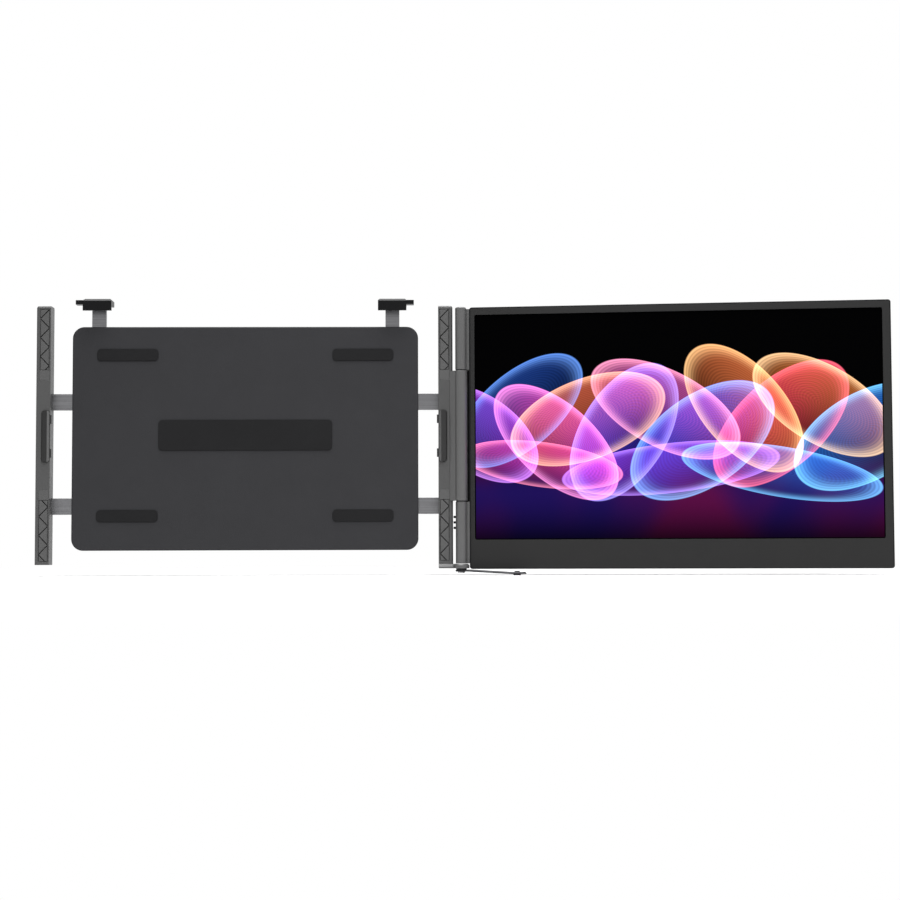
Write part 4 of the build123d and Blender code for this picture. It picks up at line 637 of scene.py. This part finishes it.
glow_petal, given, wanted = effect(
    "glow_petal", [("Picture", "Vector"), ("Middle", "Vector"), ("Turn", "Vector"), ("Size", "Vector"),
                   ("Fill", "Color"), ("Rim", "Color")], [("Glow", "Color")])
frame_of_petal = {"Vector": given["Picture"], "Location": given["Middle"], "Rotation": given["Turn"],
                  "Scale": given["Size"]}
own = put(glow_petal, "Mapping", frame_of_petal, vector_type="TEXTURE").outputs[0]
away = put(glow_petal, "VectorMath", {0: own}, operation="LENGTH").outputs["Value"]
inside = stretch(glow_petal, away, low=1.0, high=0.985)
shine = sums(glow_petal, "POWER", stretch(glow_petal, away, low=0.55, high=1.02), RIM_POWER)
wave = sums(glow_petal, "SINE", sums(glow_petal, "MULTIPLY", away, CONTOURS))
contour = sums(glow_petal, "MULTIPLY_ADD", wave, CONTOUR_DEPTH, 1.0 - CONTOUR_DEPTH)
height = put(glow_petal, "SeparateXYZ", {0: own}).outputs["Y"]
upper = stretch(glow_petal, height, low=-1.0, high=1.0, to_low=0.1, to_high=1.0)
fill = sums(glow_petal, "MULTIPLY", sums(glow_petal, "MULTIPLY", inside, contour), upper)
edge = sums(glow_petal, "MULTIPLY", sums(glow_petal, "MULTIPLY", inside, shine), contour)
filled = put(glow_petal, "VectorMath", {0: given["Fill"], "Scale": fill}, operation="SCALE").outputs[0]
rimmed = put(glow_petal, "VectorMath", {0: given["Rim"], "Scale": edge}, operation="SCALE").outputs[0]
petal_light = put(glow_petal, "VectorMath", {0: filled, 1: rimmed}, operation="ADD").outputs[0]
glow_petal.links.new(petal_light, wanted["Glow"])

# %% [markdown]
# The petals lie in a band across the middle. The display's height is one, and its width follows from
# 16 to 9. Each row below is a petal: its middle, its turn in degrees, its half sizes, and the colours of
# its fill and rim.

# %% Petals
PICTURE_WIDE = 1.778
PETALS = [
    ((0.02, 0.47), -35, (0.30, 0.17), "7a2cb8", "d890ff"),
    ((0.20, 0.57), 40, (0.34, 0.17), "1c3c86", "6a9cf0"),
    ((0.36, 0.43), -42, (0.34, 0.17), "c03ca0", "ff9ae0"),
    ((0.50, 0.53), 20, (0.36, 0.18), "c05a40", "ffc8a0"),
    ((0.66, 0.47), 58, (0.34, 0.19), "4a38d0", "b0a0ff"),
    ((0.84, 0.57), -28, (0.36, 0.17), "b04a90", "ffa8c0"),
    ((1.00, 0.43), 35, (0.36, 0.20), "3040d0", "8ac0ff"),
    ((1.18, 0.57), -50, (0.34, 0.18), "c8683c", "ffd090"),
    ((1.34, 0.50), 42, (0.36, 0.19), "c01c4c", "ff7080"),
    ((1.52, 0.58), -32, (0.34, 0.17), "b0602c", "ffdca8"),
    ((1.70, 0.44), 30, (0.34, 0.19), "2868c0", "80d8ff"),
    ((0.86, 0.31), 6, (0.48, 0.11), "6a2ca8", "b888ff"),
    ((1.34, 0.29), -10, (0.44, 0.11), "2c5cc0", "78c8ff"),
    ((0.30, 0.33), -8, (0.36, 0.10), "b83468", "ff90b0"),
]
print("picture:", len(PETALS), "petals on a width of", PICTURE_WIDE)

# %% [markdown]
# Under the petals lies a dusky haze, as if they were mirrored in still water, and a margin of about one
# millimetre at the display's border stays unlit. The film sends out this light and reflects next to
# nothing, like a matt screen.

# %% Lit film
BLACK = (0.0, 0.0, 0.0, 1.0)
MARGIN_DARK, MARGIN_LIT = 0.004, 0.005
FILM_SOCKETS = {"Emission Strength": 1.0, "Base Color": (0.0004, 0.0004, 0.0005, 1.0),
                "Roughness": 0.5, "Specular IOR Level": 0.005}

lit_film = bpy.data.materials.new("lit_film")
lit_film.use_nodes = True
tree = lit_film.node_tree
shader = tree.nodes["Principled BSDF"]
spread = put(tree, "UVMap", uv_map="surface").outputs[0]
scaled = put(tree, "VectorMath", {0: spread, 1: (PICTURE_WIDE, 1.0, 0.0)}, operation="MULTIPLY")
picture = scaled.outputs[0]
parts = put(tree, "SeparateXYZ", {0: spread}).outputs
haze = noise(tree, picture, scale=1.7, detail=1.0, rough=0.4, bend=0.6)
dusk = mixed(tree, stretch(tree, haze, low=0.35, high=0.65), paint("1e1058"), paint("5a0e44"))
below = stretch(tree, parts["Y"], low=0.42, high=0.20)
above = stretch(tree, parts["Y"], low=-0.06, high=0.22)
glow = mixed(tree, sums(tree, "MULTIPLY", below, above), BLACK, dusk)
for place, turn_by, size, fill_colour, rim_colour in PETALS:
    petal = use(tree, glow_petal, Picture=picture, Middle=(*place, 0.0), Size=(*size, 1.0),
                Turn=(0.0, 0.0, math.radians(turn_by)), Fill=paint(fill_colour), Rim=paint(rim_colour))
    glow = mixed(tree, 1.0, glow, petal["Glow"], "ADD")
beside = [sums(tree, "MINIMUM", parts[axis], sums(tree, "SUBTRACT", 1.0, parts[axis])) for axis in "XY"]
from_rim = sums(tree, "MINIMUM", sums(tree, "MULTIPLY", beside[0], PICTURE_WIDE), beside[1])
lit = mixed(tree, stretch(tree, from_rim, low=MARGIN_DARK, high=MARGIN_LIT), BLACK, glow)
tree.links.new(lit, shader.inputs["Emission Color"])
for socket, value in FILM_SOCKETS.items():
    shader.inputs[socket].default_value = value
print("lit film:", len(tree.nodes), "nodes")

# %% [markdown]
# The film lies just in front of the display panel. Its middle is flat, and its outermost ring of points
# drops back onto the panel, so that it closes against the panel like a laminated sheet. It is worked out
# in the monitor's own straight frame and then turned with it about the hinge.

# %% Display film
HINGE_PLACE = (0.1857, -0.0076)
MONITOR_TURN = math.radians(-8.0)
SCREEN_LOW, SCREEN_HIGH = (0.1973, -0.09065), (0.5415, 0.10295)
DISPLAY_FRONT = -0.0048
FILM_THICK = 0.0001
FILM_COLUMNS, FILM_ROWS = 161, 91


def on_monitor(x, y, z):
    """Points of the monitor's straight frame, turned about the hinge's upright axis."""
    across, deep = x - HINGE_PLACE[0], y - HINGE_PLACE[1]
    cosine, sine = math.cos(MONITOR_TURN), math.sin(MONITOR_TURN)
    turned_x = HINGE_PLACE[0] + across * cosine - deep * sine
    turned_y = HINGE_PLACE[1] + across * sine + deep * cosine
    return np.stack([turned_x, turned_y, z], -1)


def film_points(columns, rows):
    """Flat sheet in X and Z whose depth is one film thickness, and none along its border."""
    u, v = np.meshgrid(np.linspace(0, 1, columns), np.linspace(0, 1, rows))
    border = np.minimum(np.minimum(u, 1 - u) * (columns - 1), np.minimum(v, 1 - v) * (rows - 1))
    deep = DISPLAY_FRONT - FILM_THICK * np.minimum(border, 1.0)
    return on_monitor(SCREEN_LOW[0] + u * (SCREEN_HIGH[0] - SCREEN_LOW[0]), deep,
                      SCREEN_LOW[1] + v * (SCREEN_HIGH[1] - SCREEN_LOW[1]))


display_film = grid_piece("display_film", film_points(FILM_COLUMNS, FILM_ROWS), lit_film)
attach(display_film, "monitor")
print("film:", len(display_film.data.polygons), "faces")
